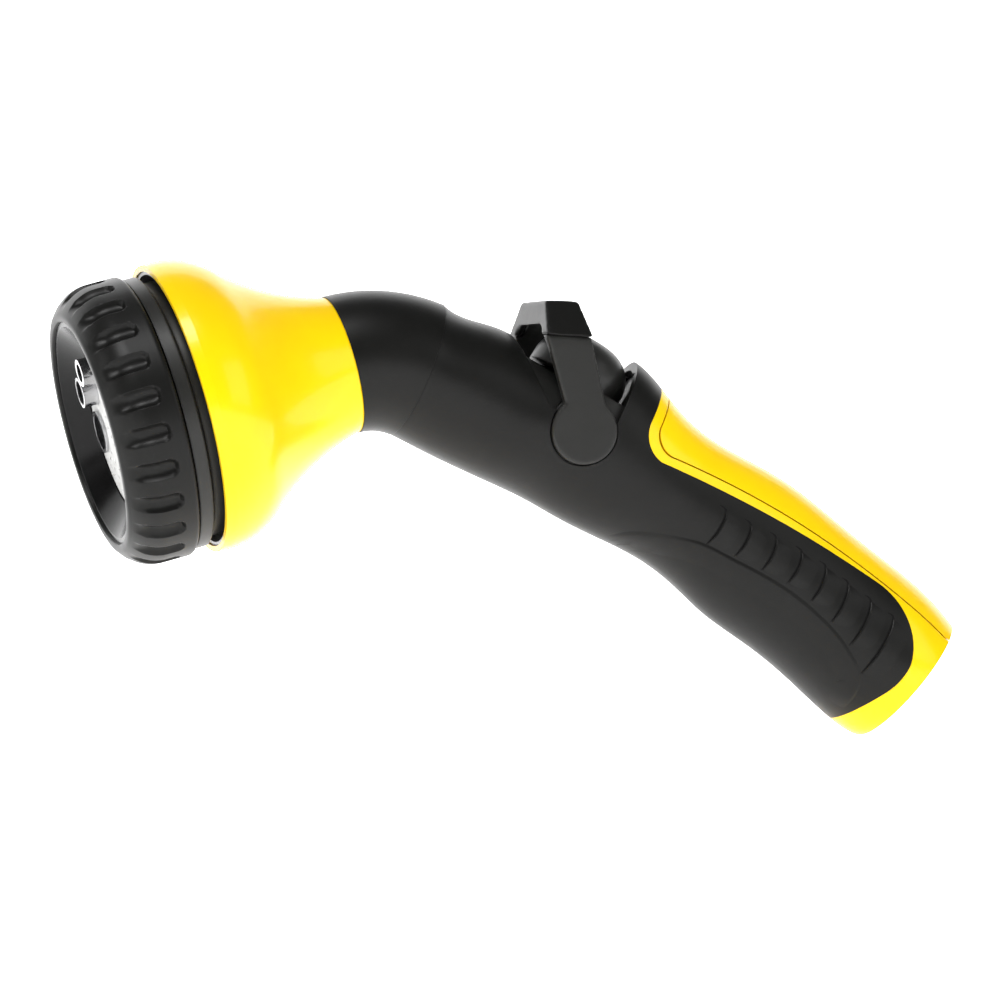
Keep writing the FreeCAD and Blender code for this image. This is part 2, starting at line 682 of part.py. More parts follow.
cheek = dim("cheek_face")
split = -dim("body_split")
pivot_x = -dim("pivot_at")
stub = dim("stub_length") + dim("part_gap")
body_solid = common("body_solid", core_outside, front_zone)
body_room = common("body_room", hollow, block(
    "body_room_zone", (3.0 - dim("handle_length"), -FAR, -FAR),
    (split, FAR, dim("deck") - dim("deck_wall"))))
body_ways = fuse(
    "body_ways",
    at_pivot("barrel", "y", -cheek, cheek, BARREL),
    from_seam("front_socket", 0.5, stub + 2, RING_ROOM + 2),
    from_seam("front_way", stub, SEAM_RUN - dim("rotor_radius") + 2, dim("seat_outer") + 2),
    to_rear("rear_way", pivot_x + dim("rotor_radius") - 2, split, dim("seat_outer") + 2),
    to_rear("rear_socket", split - dim("tube_socket") - 2, split, TUBE_ROOM + 2),
)
body_bores = fuse(
    "body_bores",
    at_pivot("rotor_bore", "y", -FAR, FAR, dim("rotor_radius") + dim("running_gap")),
    from_seam("stub_bore", -2, stub, SOCKET),
    from_seam("front_ring_room", -2, "ring_recess", RING_ROOM),
    from_seam("front_bore", stub - 1, SEAM_RUN, "way_radius"),
    from_seam("front_seat_bore", SEAM_RUN - dim("rotor_radius") - dim("seat_length"), SEAM_RUN,
              dim("seat_outer") + dim("fit_gap")),
    to_rear("rear_seat_bore", pivot_x, pivot_x + dim("rotor_radius") + dim("seat_length"),
            dim("seat_outer") + dim("fit_gap")),
    to_rear("rear_bore", pivot_x, split - 1, "way_radius"),
    to_rear("tube_bore", split - dim("tube_socket"), split + 2, TUBE_SOCKET),
    to_rear("rear_ring_room", split - dim("ring_recess"), split + 2, TUBE_ROOM),
)
body_shell = cut("body_shell", body_solid, body_room)
body_all = fuse("body_all", body_shell, common("body_inner", body_ways, body_solid))
finish(cut("valve_housing", body_all, body_bores, fan_prism("near_fan", -FAR, -cheek),
           fan_prism("far_fan", cheek, FAR), block(
               "deck_cut", (2.0 - dim("fan_front_at"), -FAR, "deck"), (1.5 - dim("fan_rear_at"), FAR, FAR)),
           bonnet_clearance), "valve_body", "handle")

# valve_seats: one rubber seat before the plug and one behind it
seat_rods = fuse(
    "seat_rods",
    from_seam("front_seat", SEAM_RUN - dim("rotor_radius") - dim("seat_length") + dim("fit_gap"),
              SEAM_RUN, "seat_outer"),
    to_rear("rear_seat", pivot_x,
            pivot_x + dim("rotor_radius") + dim("seat_length") - dim("fit_gap"), "seat_outer"),
)
finish(cut("seats", seat_rods, at_pivot("seat_shape", "y", -FAR, FAR,
                                        dim("rotor_radius") + dim("running_gap") * 2),
           from_seam("front_seat_way", 0.0, SEAM_RUN, dim("rotor_port") + dim("fit_gap")),
           to_rear("rear_seat_way", pivot_x, split, dim("rotor_port") + dim("fit_gap"))),
       "valve_seats", "handle")

# rotor_bushes and rotor_o_rings: bearings and seals of the plug's journals, one each side
bush_start = dim("rotor_half") + dim("running_gap")
ring_start = bush_start + 0.6
journal = dim("journal_radius") + dim("running_gap")
ring_line = journal + dim("ring_section")
bushes = []
rings = []
for side, name in ((1, "far"), (-1, "near")):
    low, high = sorted((bush_start * side, cheek * side), key=lambda size: size.number)
    recess = sorted((ring_start * side, (cheek + 1) * side), key=lambda size: size.number)
    bushes.append(cut(
        name + "_bush", at_pivot(name + "_bush_wall", "y", low, high, "rotor_radius"),
        at_pivot(name + "_bush_bore", "y", low - 1, high + 1, journal),
        at_pivot(name + "_bush_recess", "y", recess[0], recess[1],
                 ring_line + dim("ring_section") - dim("running_gap") + dim("fit_gap"))))
    ring = doughnut(name + "_ring", ring_line, dim("ring_section") - dim("running_gap"),
                    x=pivot_x, z="pivot_rise", around="y")
    bind(ring, "Placement.Base.y", (ring_start + dim("ring_section")) * side)
    rings.append(ring)
finish(fuse("bushes", *bushes), "rotor_bushes", "handle")
finish(fuse("journal_rings", *rings), "rotor_o_rings", "handle")

# valve_bonnet: the rounded dome that stands between the arms
bonnet_solid = cylinder("bonnet_solid", "z", dim("deck") + dim("running_gap"), "bonnet_top",
                        "bonnet_radius", x=-dim("bonnet_at"))
bonnet_dome = document.addObject("Part::Fillet", "bonnet_dome")
bonnet_dome.Base = bonnet_solid
document.recompute()
top_edge = max(range(len(bonnet_solid.Shape.Edges)),
               key=lambda index: bonnet_solid.Shape.Edges[index].CenterOfMass.z) + 1
bonnet_dome.Edges = [(top_edge, SIZES["bonnet_round"], SIZES["bonnet_round"])]
bonnet_room = cylinder("bonnet_room", "z", 0.0, dim("bonnet_top") - dim("bonnet_wall"),
                       dim("bonnet_radius") - dim("bonnet_wall") * 2, x=-dim("bonnet_at"))
finish(cut("bonnet", bonnet_dome, bonnet_room), "valve_bonnet", "handle")

# valve_rotor: the plug, its journals and the square ends that the arms sit on
half_square = dim("drive_square") / 2
rotor_solid = fuse(
    "rotor_solid",
    cylinder("rotor_plug", "y", -dim("rotor_half"), "rotor_half", "rotor_radius"),
    cylinder("rotor_journal", "y", -cheek, cheek, "journal_radius"),
    block("rotor_square", (-half_square, -dim("drive_half"), -half_square),
          (half_square, "drive_half", half_square)),
)
port_pitch = -(dim("handle_pitch") - SEAM_PITCH / 2 + dim("lever_lean"))
finish(cut("rotor", rotor_solid, slanted_rod(
    "rotor_way", 0.0, 0.0, port_pitch, -20.0, 20.0, "rotor_port")), "valve_rotor", "lever")

# thumb_lever: a bail whose two arms straddle the body
arm_half = dim("arm_outer")
arms = prism("arms", [
    (-dim("arm_front"), 0.0),
    ("arm_back", 0.0),
    ("arm_back", dim("pad_back_low") + 0.5),
    (-dim("arm_front_top"), dim("pad_front_low") + 0.3),
    (-dim("arm_front"), "lever_disc"),
], -arm_half, arm_half)
discs = cylinder("discs", "y", -arm_half, arm_half, "lever_disc")


def tunnel(name):
    """The arched opening of the bail, through the lever along x."""
    inner, spring, corner = dim("arm_inner"), dim("tunnel_spring"), dim("tunnel_corner")
    return cross_prism(name, [
        (-inner, -15.0),
        (inner, -15.0),
        (inner, spring),
        Curve(inner - corner, spring + corner, corner, True),
        (corner - inner, spring + corner),
        Curve(-inner, spring, corner, True),
    ], -30.0, 30.0)


def pad_shape(name, inset):
    """The thumb paddle, a wedge in side view and a trapezium from the front, or a smaller copy."""
    inset = dim(inset)
    side_view = prism(name + "_side", [
        (inset - dim("pad_front_foot"), dim("pad_front_low") - inset),
        (dim("pad_back_foot") - inset, dim("pad_back_low") - inset),
        (dim("pad_back_top") - inset, dim("pad_top_back") - inset),
        (inset - dim("pad_front_top"), dim("pad_top_front") - inset),
    ], -FAR, FAR)
    foot, top = dim("pad_foot_half") - inset * 1.4, dim("pad_top_half") - inset * 1.4
    front_view = cross_prism(name + "_front", [
        (-foot, dim("pad_foot_at") - dim("pad_wall")),
        (foot, dim("pad_foot_at") - dim("pad_wall")),
        (foot, "pad_foot_at"),
        (top, "pad_top_at"),
        (-top, "pad_top_at"),
        (-foot, "pad_foot_at"),
    ], -30.0, 30.0)
    front_view.Placement = FreeCAD.Placement(FreeCAD.Vector(), FreeCAD.Rotation(DOWN, SIZES["pad_slope"]))
    bind(front_view, "Placement.Rotation.Angle", "pad_slope")
    return common(name, side_view, front_view)


insert = pad_shape("insert", "pad_wall")
square_room = half_square + dim("fit_gap")
drive_room = dim("drive_half") + dim("fit_gap")
square_hole = block("square_hole", (-square_room, -drive_room, -square_room),
                    (square_room, drive_room, square_room))
bail = cut("bail_arms", fuse("bail_solid", arms, discs), pad_shape("pad_room", 0.0))
finish(cut("bail", fuse("bail_full", bail, insert), tunnel("bail_tunnel"), square_hole),
       "thumb_lever", "lever")

# lever_pad: soft paddle moulded over the top of the bail
finish(cut("pad", pad_shape("pad_solid", 0.0), insert, tunnel("pad_tunnel")), "lever_pad", "lever")

# ---------------------------------------------------------------- neck

TURN = dim("head_pitch") + SEAM_SLOPE
END_X = dim("elbow_radius") * sine(TURN)
END_Z = dim("elbow_radius") * cosine(TURN) - dim("elbow_radius")


def elbow(name, radius):
    return swept_circle(name, radius, "elbow_radius", TURN, FreeCAD.Vector(0, 1, 0))


def end_rod(name, low, high, radius):
    return slanted_rod(name, END_X, END_Z, -TURN, low, high, radius)


core_elbow = elbow("core_elbow", "neck_core")
finish(cut("sleeve", elbow("sleeve_solid", "neck_outer"), core_elbow), "neck_elbow", "head")
neck_solid = fuse("neck_solid", core_elbow,
                  cylinder("front_stub", "x", -dim("stub_length"), 0.5, "stub_outer"),
                  end_rod("rear_stub", -0.5, "stub_length", "stub_outer"))
finish(cut("neck", neck_solid, elbow("neck_way", "neck_bore"),
           cylinder("front_stub_bore", "x", -30.0, 0.01, "neck_bore"),
           end_rod("rear_stub_bore", -0.01, 30.0, "neck_bore")), "neck_tube", "head")

stub_ring = dim("stub_outer") + dim("ring_section") + dim("running_gap") / 2
section = dim("ring_section")
finish(seated("neck_ring_1", doughnut("front_ring", stub_ring, section,
                                    x=-(dim("ring_recess") / 2 + dim("fit_gap")))),
       "neck_o_ring_front", "head")
finish(seated("neck_ring_2", doughnut("rear_ring", stub_ring, section, x=dim("ring_recess") / 2)),
       "neck_o_ring_rear", "seam")

# ---------------------------------------------------------------- bell

wall = dim("bell_wall")
flare_run = dim("bell_crown_at") - dim("flare_turn_at")
flare_drop = root(dim("flare_convex") * dim("flare_convex") - flare_run * flare_run)
flare_turn = dim("bell_crown") - dim("flare_convex") + flare_drop
inner_turn_x = ahead(dim("flare_turn_at") + wall * flare_run / dim("flare_convex"))
inner_turn_r = flare_turn - wall * flare_drop / dim("flare_convex")
finish(turned("bell", [
    (0.0, "bell_small"),
    Curve(ahead("flare_turn_at"), flare_turn, "flare_concave", False),
    Curve(ahead("bell_crown_at"), "bell_crown", "flare_convex", True),
    (ahead("bell_rim_at"), "bell_rim"),
    (ahead("bell_rim_at"), dim("bell_rim") - wall),
    (ahead("bell_crown_at"), dim("bell_crown") - wall),
    Curve(inner_turn_x, inner_turn_r, dim("flare_convex") - wall, False),
    Curve(0.0, dim("bell_small") - wall * 1.03, dim("flare_concave") + wall, True),
]), "bell_housing", "head")

# bell_liner: pale skin inside the bell's mouth
crown_centre = dim("bell_crown") - dim("flare_convex")
liner_out = dim("flare_convex") - wall - dim("fit_gap")
liner_in = liner_out - dim("liner_wall")
liner_run = dim("bell_crown_at") - dim("liner_start")


def liner_radius(curve):
    return crown_centre + root(curve * curve - liner_run * liner_run)


liner_end = dim("bell_rim_at") - 0.6
liner_drop = wall + dim("fit_gap")
finish(turned("liner", [
    (ahead("liner_start"), liner_radius(liner_out)),
    Curve(ahead("bell_crown_at"), dim("bell_crown") - liner_drop, liner_out, True),
    (ahead(liner_end), dim("bell_rim") - liner_drop),
    (ahead(liner_end), dim("bell_rim") - liner_drop - dim("liner_wall")),
    (ahead("bell_crown_at"), dim("bell_crown") - liner_drop - dim("liner_wall")),
    Curve(ahead("liner_start"), liner_radius(liner_in), liner_in, False),
]), "bell_liner", "head")

# ---------------------------------------------------------------- head manifold

stub_room = dim("stub_length") + dim("part_gap")
face_back = dim("collar_face") - dim("face_wall")
drum_room = dim("drum_radius") - dim("drum_wall")
manifold = turned("manifold", [
    (ahead("fit_gap"), RING_ROOM),
    (ahead("fit_gap"), "socket_outer"),
    (ahead("socket_end"), "socket_outer"),
    (ahead("drum_at"), "drum_radius"),
    (ahead("collar_at"), "drum_radius"),
    (ahead(dim("collar_at") + 1), "collar_radius"),
    (ahead("collar_face"), "collar_radius"),
    (ahead("collar_face"), "post_radius"),
    (ahead("post_top"), "post_radius"),
    (ahead("post_top"), "pilot_radius"),
    (ahead(dim("screw_foot") - 1), "pilot_radius"),
    (ahead(dim("screw_foot") - 1), 0.0),
    (ahead("boss_at"), 0.0),
    (ahead("boss_at"), "boss_radius"),
    (ahead(face_back), "boss_radius"),
    (ahead(face_back), drum_room),
    (ahead("drum_at"), drum_room),
    (ahead(stub_room + 3), "neck_bore"),
    (ahead(stub_room), "neck_bore"),
    (ahead(stub_room), SOCKET),
    (ahead("ring_recess"), SOCKET),
    (ahead("ring_recess"), RING_ROOM),
])
up = 90 - dim("station_lag")
port_y, port_z = dim("port_offset") * cosine(up), dim("port_offset") * sine(up)
pin_y, pin_z = -dim("detent_offset") * cosine(up), -dim("detent_offset") * sine(up)
rod(manifold, "Additive", "port_boss", -face_back - 0.5, ahead(dim("port_floor") - 2),
    dim("port_bore") + dim("port_wall"), y=port_y, z=port_z)
rod(manifold, "Subtractive", "port_bore_hole", -dim("collar_face") - 1, ahead("port_floor"),
    "port_bore", y=port_y, z=port_z)
rod(manifold, "Subtractive", "port_way_hole", -dim("collar_face") - 1,
    ahead(dim("port_floor") - 4), "port_way", y=port_y, z=port_z)
rod(manifold, "Additive", "detent_boss", -face_back - 0.5, ahead(dim("detent_floor") - 1.5),
    dim("detent_radius") + 1.6, y=pin_y, z=pin_z)
rod(manifold, "Subtractive", "detent_bore", -dim("collar_face") - 1, ahead("detent_floor"),
    dim("detent_radius") + dim("running_gap"), y=pin_y, z=pin_z)
finish(manifold, "head_manifold", "head")

# port_seal, detent_pin and their springs
plate_face = dim("collar_face") + dim("part_gap") + dim("face_gap")
seal_front = plate_face - dim("face_gap")
seal_back = seal_front - dim("seal_length")
finish(tube("seal", "x", -seal_front, -seal_back, dim("port_bore") - dim("fit_gap"),
            "port_way", y=port_y, z=port_z), "port_seal", "head")
finish(dished_washer("seal_washer", -seal_back + dim("running_gap"),
                     ahead("port_floor") - dim("running_gap"), port_y, port_z),
       "port_seal_spring", "head")
pin_back = seal_front - dim("detent_length")
finish(seated("pin", cylinder("pin_rod", "x", -seal_front, -pin_back, "detent_radius",
                            y=pin_y, z=pin_z)), "detent_pin", "head")
finish(coil("detent_coil", -pin_back + 0.1, ahead("detent_floor") - 0.1, 4.0,
            dim("detent_radius") - dim("detent_wire") * 1.5, "detent_wire", pin_y, pin_z),
       "detent_spring", "head")

# ---------------------------------------------------------------- turning head

ring = turned("ring", [
    (ahead("ring_rear"), "ring_inner"),
    (ahead("ring_rear"), dim("ring_radius") - dim("ring_edge")),
    (ahead(dim("ring_rear") + dim("ring_edge")), "ring_radius"),
    (ahead("ring_shoulder"), "ring_radius"),
    Curve(ahead("ring_front"), "ring_lip", "ring_curve", True),
    (ahead("ring_nose"), "ring_nose_radius"),
    (ahead("ring_front"), "ring_lip_inner"),
    (ahead("ring_step"), "ring_lip_inner"),
    (ahead("ring_step"), "ring_inner"),
])
flute_line = dim("ring_radius") + dim("flute_radius") - dim("flute_depth")
flute = rod(ring, "Subtractive", "flute", ahead("ring_shoulder"),
            ahead(dim("flute_rear") + dim("flute_radius")), "flute_radius", z=flute_line)
flute_bend = ring.newObject("PartDesign::SubtractiveTorus", "flute_bend")
flute_bend.AttachmentSupport = (origin_plane(ring, "XZ_Plane"), [""])
flute_bend.MapMode = "FlatFace"
flute_bend.AttachmentOffset = FreeCAD.Placement(
    FreeCAD.Vector(), FreeCAD.Rotation(FreeCAD.Vector(0, 0, 1), 90))
bind(flute_bend, "AttachmentOffset.Base.x", ahead("ring_shoulder"))
bind(flute_bend, "AttachmentOffset.Base.y", dim("ring_radius") - dim("ring_curve"))
bind(flute_bend, "Radius1", dim("ring_curve") + dim("flute_radius") - dim("flute_depth"))
bind(flute_bend, "Radius2", "flute_radius")
bind(flute_bend, "Angle3", "flute_sweep")
ring.Tip = flute_bend
flute_end = hollow_ball(ring, "flute_end", ahead(dim("flute_rear") + dim("flute_radius")),
                        "flute_radius", flute_line)
ring_of(ring, "flutes", [flute, flute_bend, flute_end], "flute_count")
finish(ring, "selector_ring", "head")

# selector_cup: glossy dish inside the ring, with the seat of the spray face
cup_outer = dim("ring_inner") - dim("running_gap")
cup_inner = cup_outer - dim("cup_wall")
face_seat = dim("face_radius") + dim("running_gap")
finish(turned("cup", [
    (ahead("cup_back"), cup_inner),
    (ahead("cup_back"), cup_outer),
    (ahead(dim("ring_step") - dim("running_gap")), cup_outer),
    (ahead(dim("ring_step") - dim("running_gap")), dim("ring_lip_inner") - dim("running_gap")),
    (ahead("cup_front"), dim("ring_lip_inner") - dim("running_gap")),
    (ahead("cup_front"), "cup_mouth"),
    (ahead("cup_floor_at"), "cup_floor"),
    (ahead("face_at"), "cup_floor"),
    (ahead("face_at"), face_seat),
    (ahead("sleeve_back"), face_seat),
    (ahead("sleeve_back"), face_seat + dim("sleeve_wall")),
    (ahead(dim("ring_step") - dim("cup_wall") - 1), cup_inner),
]), "selector_cup", "head")

# pattern_plate: one port per pattern, and the wall of the shower chamber
plate_top = plate_face + dim("plate_thick")
plate_hole = dim("post_radius") + dim("running_gap")
chamber_out = dim("face_radius") - dim("fit_gap")
chamber_in = chamber_out - dim("chamber_wall")
face_back_at = dim("face_at") - dim("face_thick")
plate = turned("plate", [
    (-plate_face, plate_hole),
    (-plate_face, cup_inner - dim("fit_gap")),
    (-plate_top, cup_inner - dim("fit_gap")),
    (-plate_top, chamber_out),
    (-(face_back_at - dim("running_gap")), chamber_out),
    (-(face_back_at - dim("running_gap")), chamber_in),
    (-plate_top, chamber_in),
    (-plate_top, plate_hole),
])
plate_port = rod(plate, "Subtractive", "plate_port", -plate_top - 1, -plate_face + 1,
                 "plate_port_radius", y=port_y, z=port_z)
ring_of(plate, "plate_port_ring", [plate_port], "plate_ports")
finish(plate, "pattern_plate", "head")

# nozzles of the single patterns: station, distance from the axis, outer radius, bore, front end
proud = dim("face_at") + dim("rim_proud")
NOZZLES = {
    "cone": (0, "cone_offset", "cone_outer", "cone_bore", proud),
    "jet": (1, "nozzle_offset", "jet_outer", "jet_bore", dim("jet_top")),
    "mist": (2, "nozzle_offset", "mist_outer", "mist_bore", dim("mist_top")),
    "flat": (3, "nozzle_offset", "side_outer", "side_bore", proud),
    "soaker": (4, "nozzle_offset", "side_outer", "side_bore", proud),
}


def station(number, distance):
    """Where a pattern's port lies: y and z, at a distance from the axis."""
    angle = dim(45.0 * number) - dim("station_lag")
    return dim(distance) * cosine(angle), dim(distance) * sine(angle)


tubes = {}
for name, (number, distance, outer, bore, front) in NOZZLES.items():
    y, z = station(number, distance)
    tubes[name] = tube(name + "_tube", "x", -front, -plate_top, outer, bore, y=y, z=z)
y, z = station(0, "cone_offset")
cone_rim = tube("cone_rim_ring", "x", -proud, -(dim("face_at") + dim("running_gap")),
                "cone_rim", "cone_bore", y=y, z=z)
finish(fuse("cone_parts", tubes["cone"], cone_rim), "cone_nozzle", "head")
finish(seated("jet_parts", tubes["jet"]), "jet_nozzle", "head")
finish(seated("mist_parts", tubes["mist"]), "mist_nozzle", "head")
finish(fuse("side_parts", tubes["flat"], tubes["soaker"]), "side_nozzles", "head")

# spray_face: bright disc with the shower holes and an opening for each nozzle
face = turned("face", [
    (-face_back_at, 0.0),
    (-face_back_at, "face_radius"),
    (ahead("face_at"), "face_radius"),
    (ahead("face_at"), 0.0),
])
face_low, face_high = ahead(dim("face_at") + 1), -face_back_at + 1
for name, (number, distance, outer, bore, front) in NOZZLES.items():
    y, z = station(number, distance)
    rod(face, "Subtractive", name + "_opening", face_low, face_high,
        dim(outer) + dim("running_gap"), y=y, z=z)
for row in (1, 2, 3):
    hole = rod(face, "Subtractive", "shower_%d" % row, face_low, face_high, "spray_hole",
               z=dim("spray_step") * -row)
    if row < 3:
        ring_of(face, "shower_ring_%d" % row, [hole], 8.0 * row)
for row in (4, 5, 6):
    for step in range(-row, row + 1):
        angle = -90.0 + 60.0 * step / row
        rod(face, "Subtractive", "shower_%d_%d" % (row, step + row), face_low, face_high, "spray_hole",
            y=dim("spray_step") * row * cosine(angle), z=dim("spray_step") * row * sine(angle))
finish(face, "spray_face", "head")

# turret_washer and turret_screw: they hold the turning head on the manifold's post
washer_back = dim("post_top") + dim("fit_gap")
washer_front = washer_back + dim("washer_thick")
finish(tube("washer", "x", -washer_front, -washer_back, "washer_radius",
            dim("pilot_radius") + dim("fit_gap")), "turret_washer", "head")
screw_back = washer_front + dim("running_gap")
finish(turned("screw", [
    (ahead("screw_foot"), 0.0),
    (ahead("screw_foot"), dim("pilot_radius") - dim("running_gap")),
    (-screw_back, dim("pilot_radius") - dim("running_gap")),
    (-screw_back, "screw_head"),
    (-(screw_back + dim("screw_head_height") * 0.6), "screw_head"),
    (-(screw_back + dim("screw_head_height")), dim("screw_head") * 0.7),
    (-(screw_back + dim("screw_head_height")), dim("screw_head") * 0.35),
    (-(screw_back + dim("screw_head_height") * 0.4), 0.0),
]), "turret_screw", "head")

# ---------------------------------------------------------------- hose inlet

thread = dim("thread_radius")
recess_end = dim("thread_depth") + dim("washer_recess")
fitting_end = dim("fitting_length")
finish(turned("fitting", [
    (0.0, thread),
    (0.0, "fitting_outer"),
    (-fitting_end, "fitting_outer"),
    (-fitting_end, TUBE_ROOM),
    (-(fitting_end - dim("ring_recess")), TUBE_ROOM),
    (-(fitting_end - dim("ring_recess")), TUBE_SOCKET),
    (-dim("tube_seat"), TUBE_SOCKET),
    (-dim("tube_seat"), "hose_bore"),
    (-recess_end, "hose_bore"),
    (-recess_end, "recess_radius"),
    (-dim("thread_depth"), "recess_radius"),
    (-dim("thread_depth"), thread),
]), "inlet_fitting", "inlet")

disc_radius = dim("recess_radius") - dim("fit_gap")
screen_front = recess_end - dim("screen_thick")
screen = turned("screen", [
    (-recess_end, 0.0),
    (-recess_end, disc_radius),
    (-screen_front, disc_radius),
    (-screen_front, 0.0),
])
for row in (1, 2, 3):
    hole = rod(screen, "Subtractive", "mesh_%d" % row, -recess_end - 1, -screen_front + 1,
               "screen_hole", z=2.0 * row)
    ring_of(screen, "mesh_ring_%d" % row, [hole], 6.0 * row)
finish(screen, "filter_screen", "inlet")
finish(tube("flat_washer", "x", -(screen_front - dim("running_gap")),
            -(dim("thread_depth") + dim("running_gap")), disc_radius,
            dim("hose_bore") + 0.6), "hose_washer", "inlet")

# water_tube: straight in the fitting, then bent so that it arrives level at the plug
straight = fitting_end + dim("tube_lead")
straight_rise = straight * sine("inlet_pitch")
TUBE_BEND = (dim("pivot_rise") - straight_rise) / (1.0 - cosine("inlet_pitch"))
bend_x = -(straight + TUBE_BEND * sine("inlet_pitch"))
bend_z = -(dim("pivot_rise") - straight_rise)
level_run = dim("tube_end") - straight * cosine("inlet_pitch") - TUBE_BEND * sine("inlet_pitch")


def water_way(name, radius, spare):
    """The tube's path at one radius, longer by the spare length at both ends."""
    return fuse(
        name,
        cylinder(name + "_start", "x", -straight, -(dim("tube_seat") + dim("fit_gap")) + spare, radius),
        swept_circle(name + "_bend", radius, TUBE_BEND, "inlet_pitch", UP, x=-straight),
        slanted_rod(name + "_level", bend_x, bend_z, "inlet_pitch", -level_run - spare, 0.0, radius))


finish(cut("tube_piece", water_way("tube_wall", "tube_outer", 0.0),
           water_way("tube_way", "tube_bore", 1.0)), "water_tube", "inlet")

tube_ring = dim("tube_outer") + section + dim("fit_gap")
finish(seated("tube_ring_1", doughnut("inlet_ring", tube_ring, section,
                                    x=-(fitting_end - dim("ring_recess") / 2))),
       "inlet_o_ring", "inlet")
finish(seated("tube_ring_2", doughnut("valve_ring", tube_ring, section,
                                    x=split - dim("ring_recess") / 2, z="pivot_rise")),
       "valve_o_ring", "handle")

# ---------------------------------------------------------------- check and write

document.recompute()
faults = [item.Name for item in document.Objects
          if "Invalid" in item.State or "Error" in item.State]
if faults:
    raise RuntimeError("not rebuilt: " + ", ".join(faults))
for item in subparts:
    if item.Shape.isNull() or not item.Shape.isValid():
        raise RuntimeError("%s has no valid shape" % item.Label)
    if not item.Shape.Solids:
        raise RuntimeError("%s holds no solid" % item.Label)
os.makedirs("parts", exist_ok=True)
for item in subparts:
    item.Shape.exportStep("parts/%s.step" % item.Label)
    print("%-20s %2d solids %10.1f mm3" % (item.Label, len(item.Shape.Solids), item.Shape.Volume))
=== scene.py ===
"""Hose spray nozzle with a turning spray head and a thumb lever: finishes, small details and studio."""

import json
import logging
import math
from dataclasses import dataclass, field
from enum import Enum

import bpy
from mathutils import Matrix, Vector


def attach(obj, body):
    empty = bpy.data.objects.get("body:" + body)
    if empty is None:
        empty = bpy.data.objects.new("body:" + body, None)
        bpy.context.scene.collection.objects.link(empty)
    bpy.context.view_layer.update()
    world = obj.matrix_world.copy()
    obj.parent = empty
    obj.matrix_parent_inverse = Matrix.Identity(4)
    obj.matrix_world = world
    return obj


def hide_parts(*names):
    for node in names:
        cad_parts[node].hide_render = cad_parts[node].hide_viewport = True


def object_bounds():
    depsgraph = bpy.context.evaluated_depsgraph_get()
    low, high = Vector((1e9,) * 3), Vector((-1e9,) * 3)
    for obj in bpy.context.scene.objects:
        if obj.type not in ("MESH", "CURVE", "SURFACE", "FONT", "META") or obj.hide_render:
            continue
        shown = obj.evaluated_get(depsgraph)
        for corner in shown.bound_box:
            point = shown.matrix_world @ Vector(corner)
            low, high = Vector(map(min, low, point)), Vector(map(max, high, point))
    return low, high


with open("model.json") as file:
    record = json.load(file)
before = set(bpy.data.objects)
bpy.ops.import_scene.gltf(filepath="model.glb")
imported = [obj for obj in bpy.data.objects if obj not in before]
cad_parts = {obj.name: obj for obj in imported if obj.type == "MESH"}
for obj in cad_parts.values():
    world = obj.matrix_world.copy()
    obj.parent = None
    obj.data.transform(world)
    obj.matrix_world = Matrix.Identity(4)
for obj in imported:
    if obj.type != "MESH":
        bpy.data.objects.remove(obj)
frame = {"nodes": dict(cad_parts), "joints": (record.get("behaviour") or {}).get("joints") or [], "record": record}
CAD_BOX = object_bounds()
MM = 0.001
LOG = logging.getLogger("hose_nozzle")


class Body(Enum):
    """The three bodies that the nozzle moves as."""

    FRAME = "frame"
    SELECTOR = "selector"
    LEVER = "lever"


class Side(Enum):
    """A side of the handle, by the direction its details are pressed in."""

    NEAR = 1.0
    FAR = -1.0


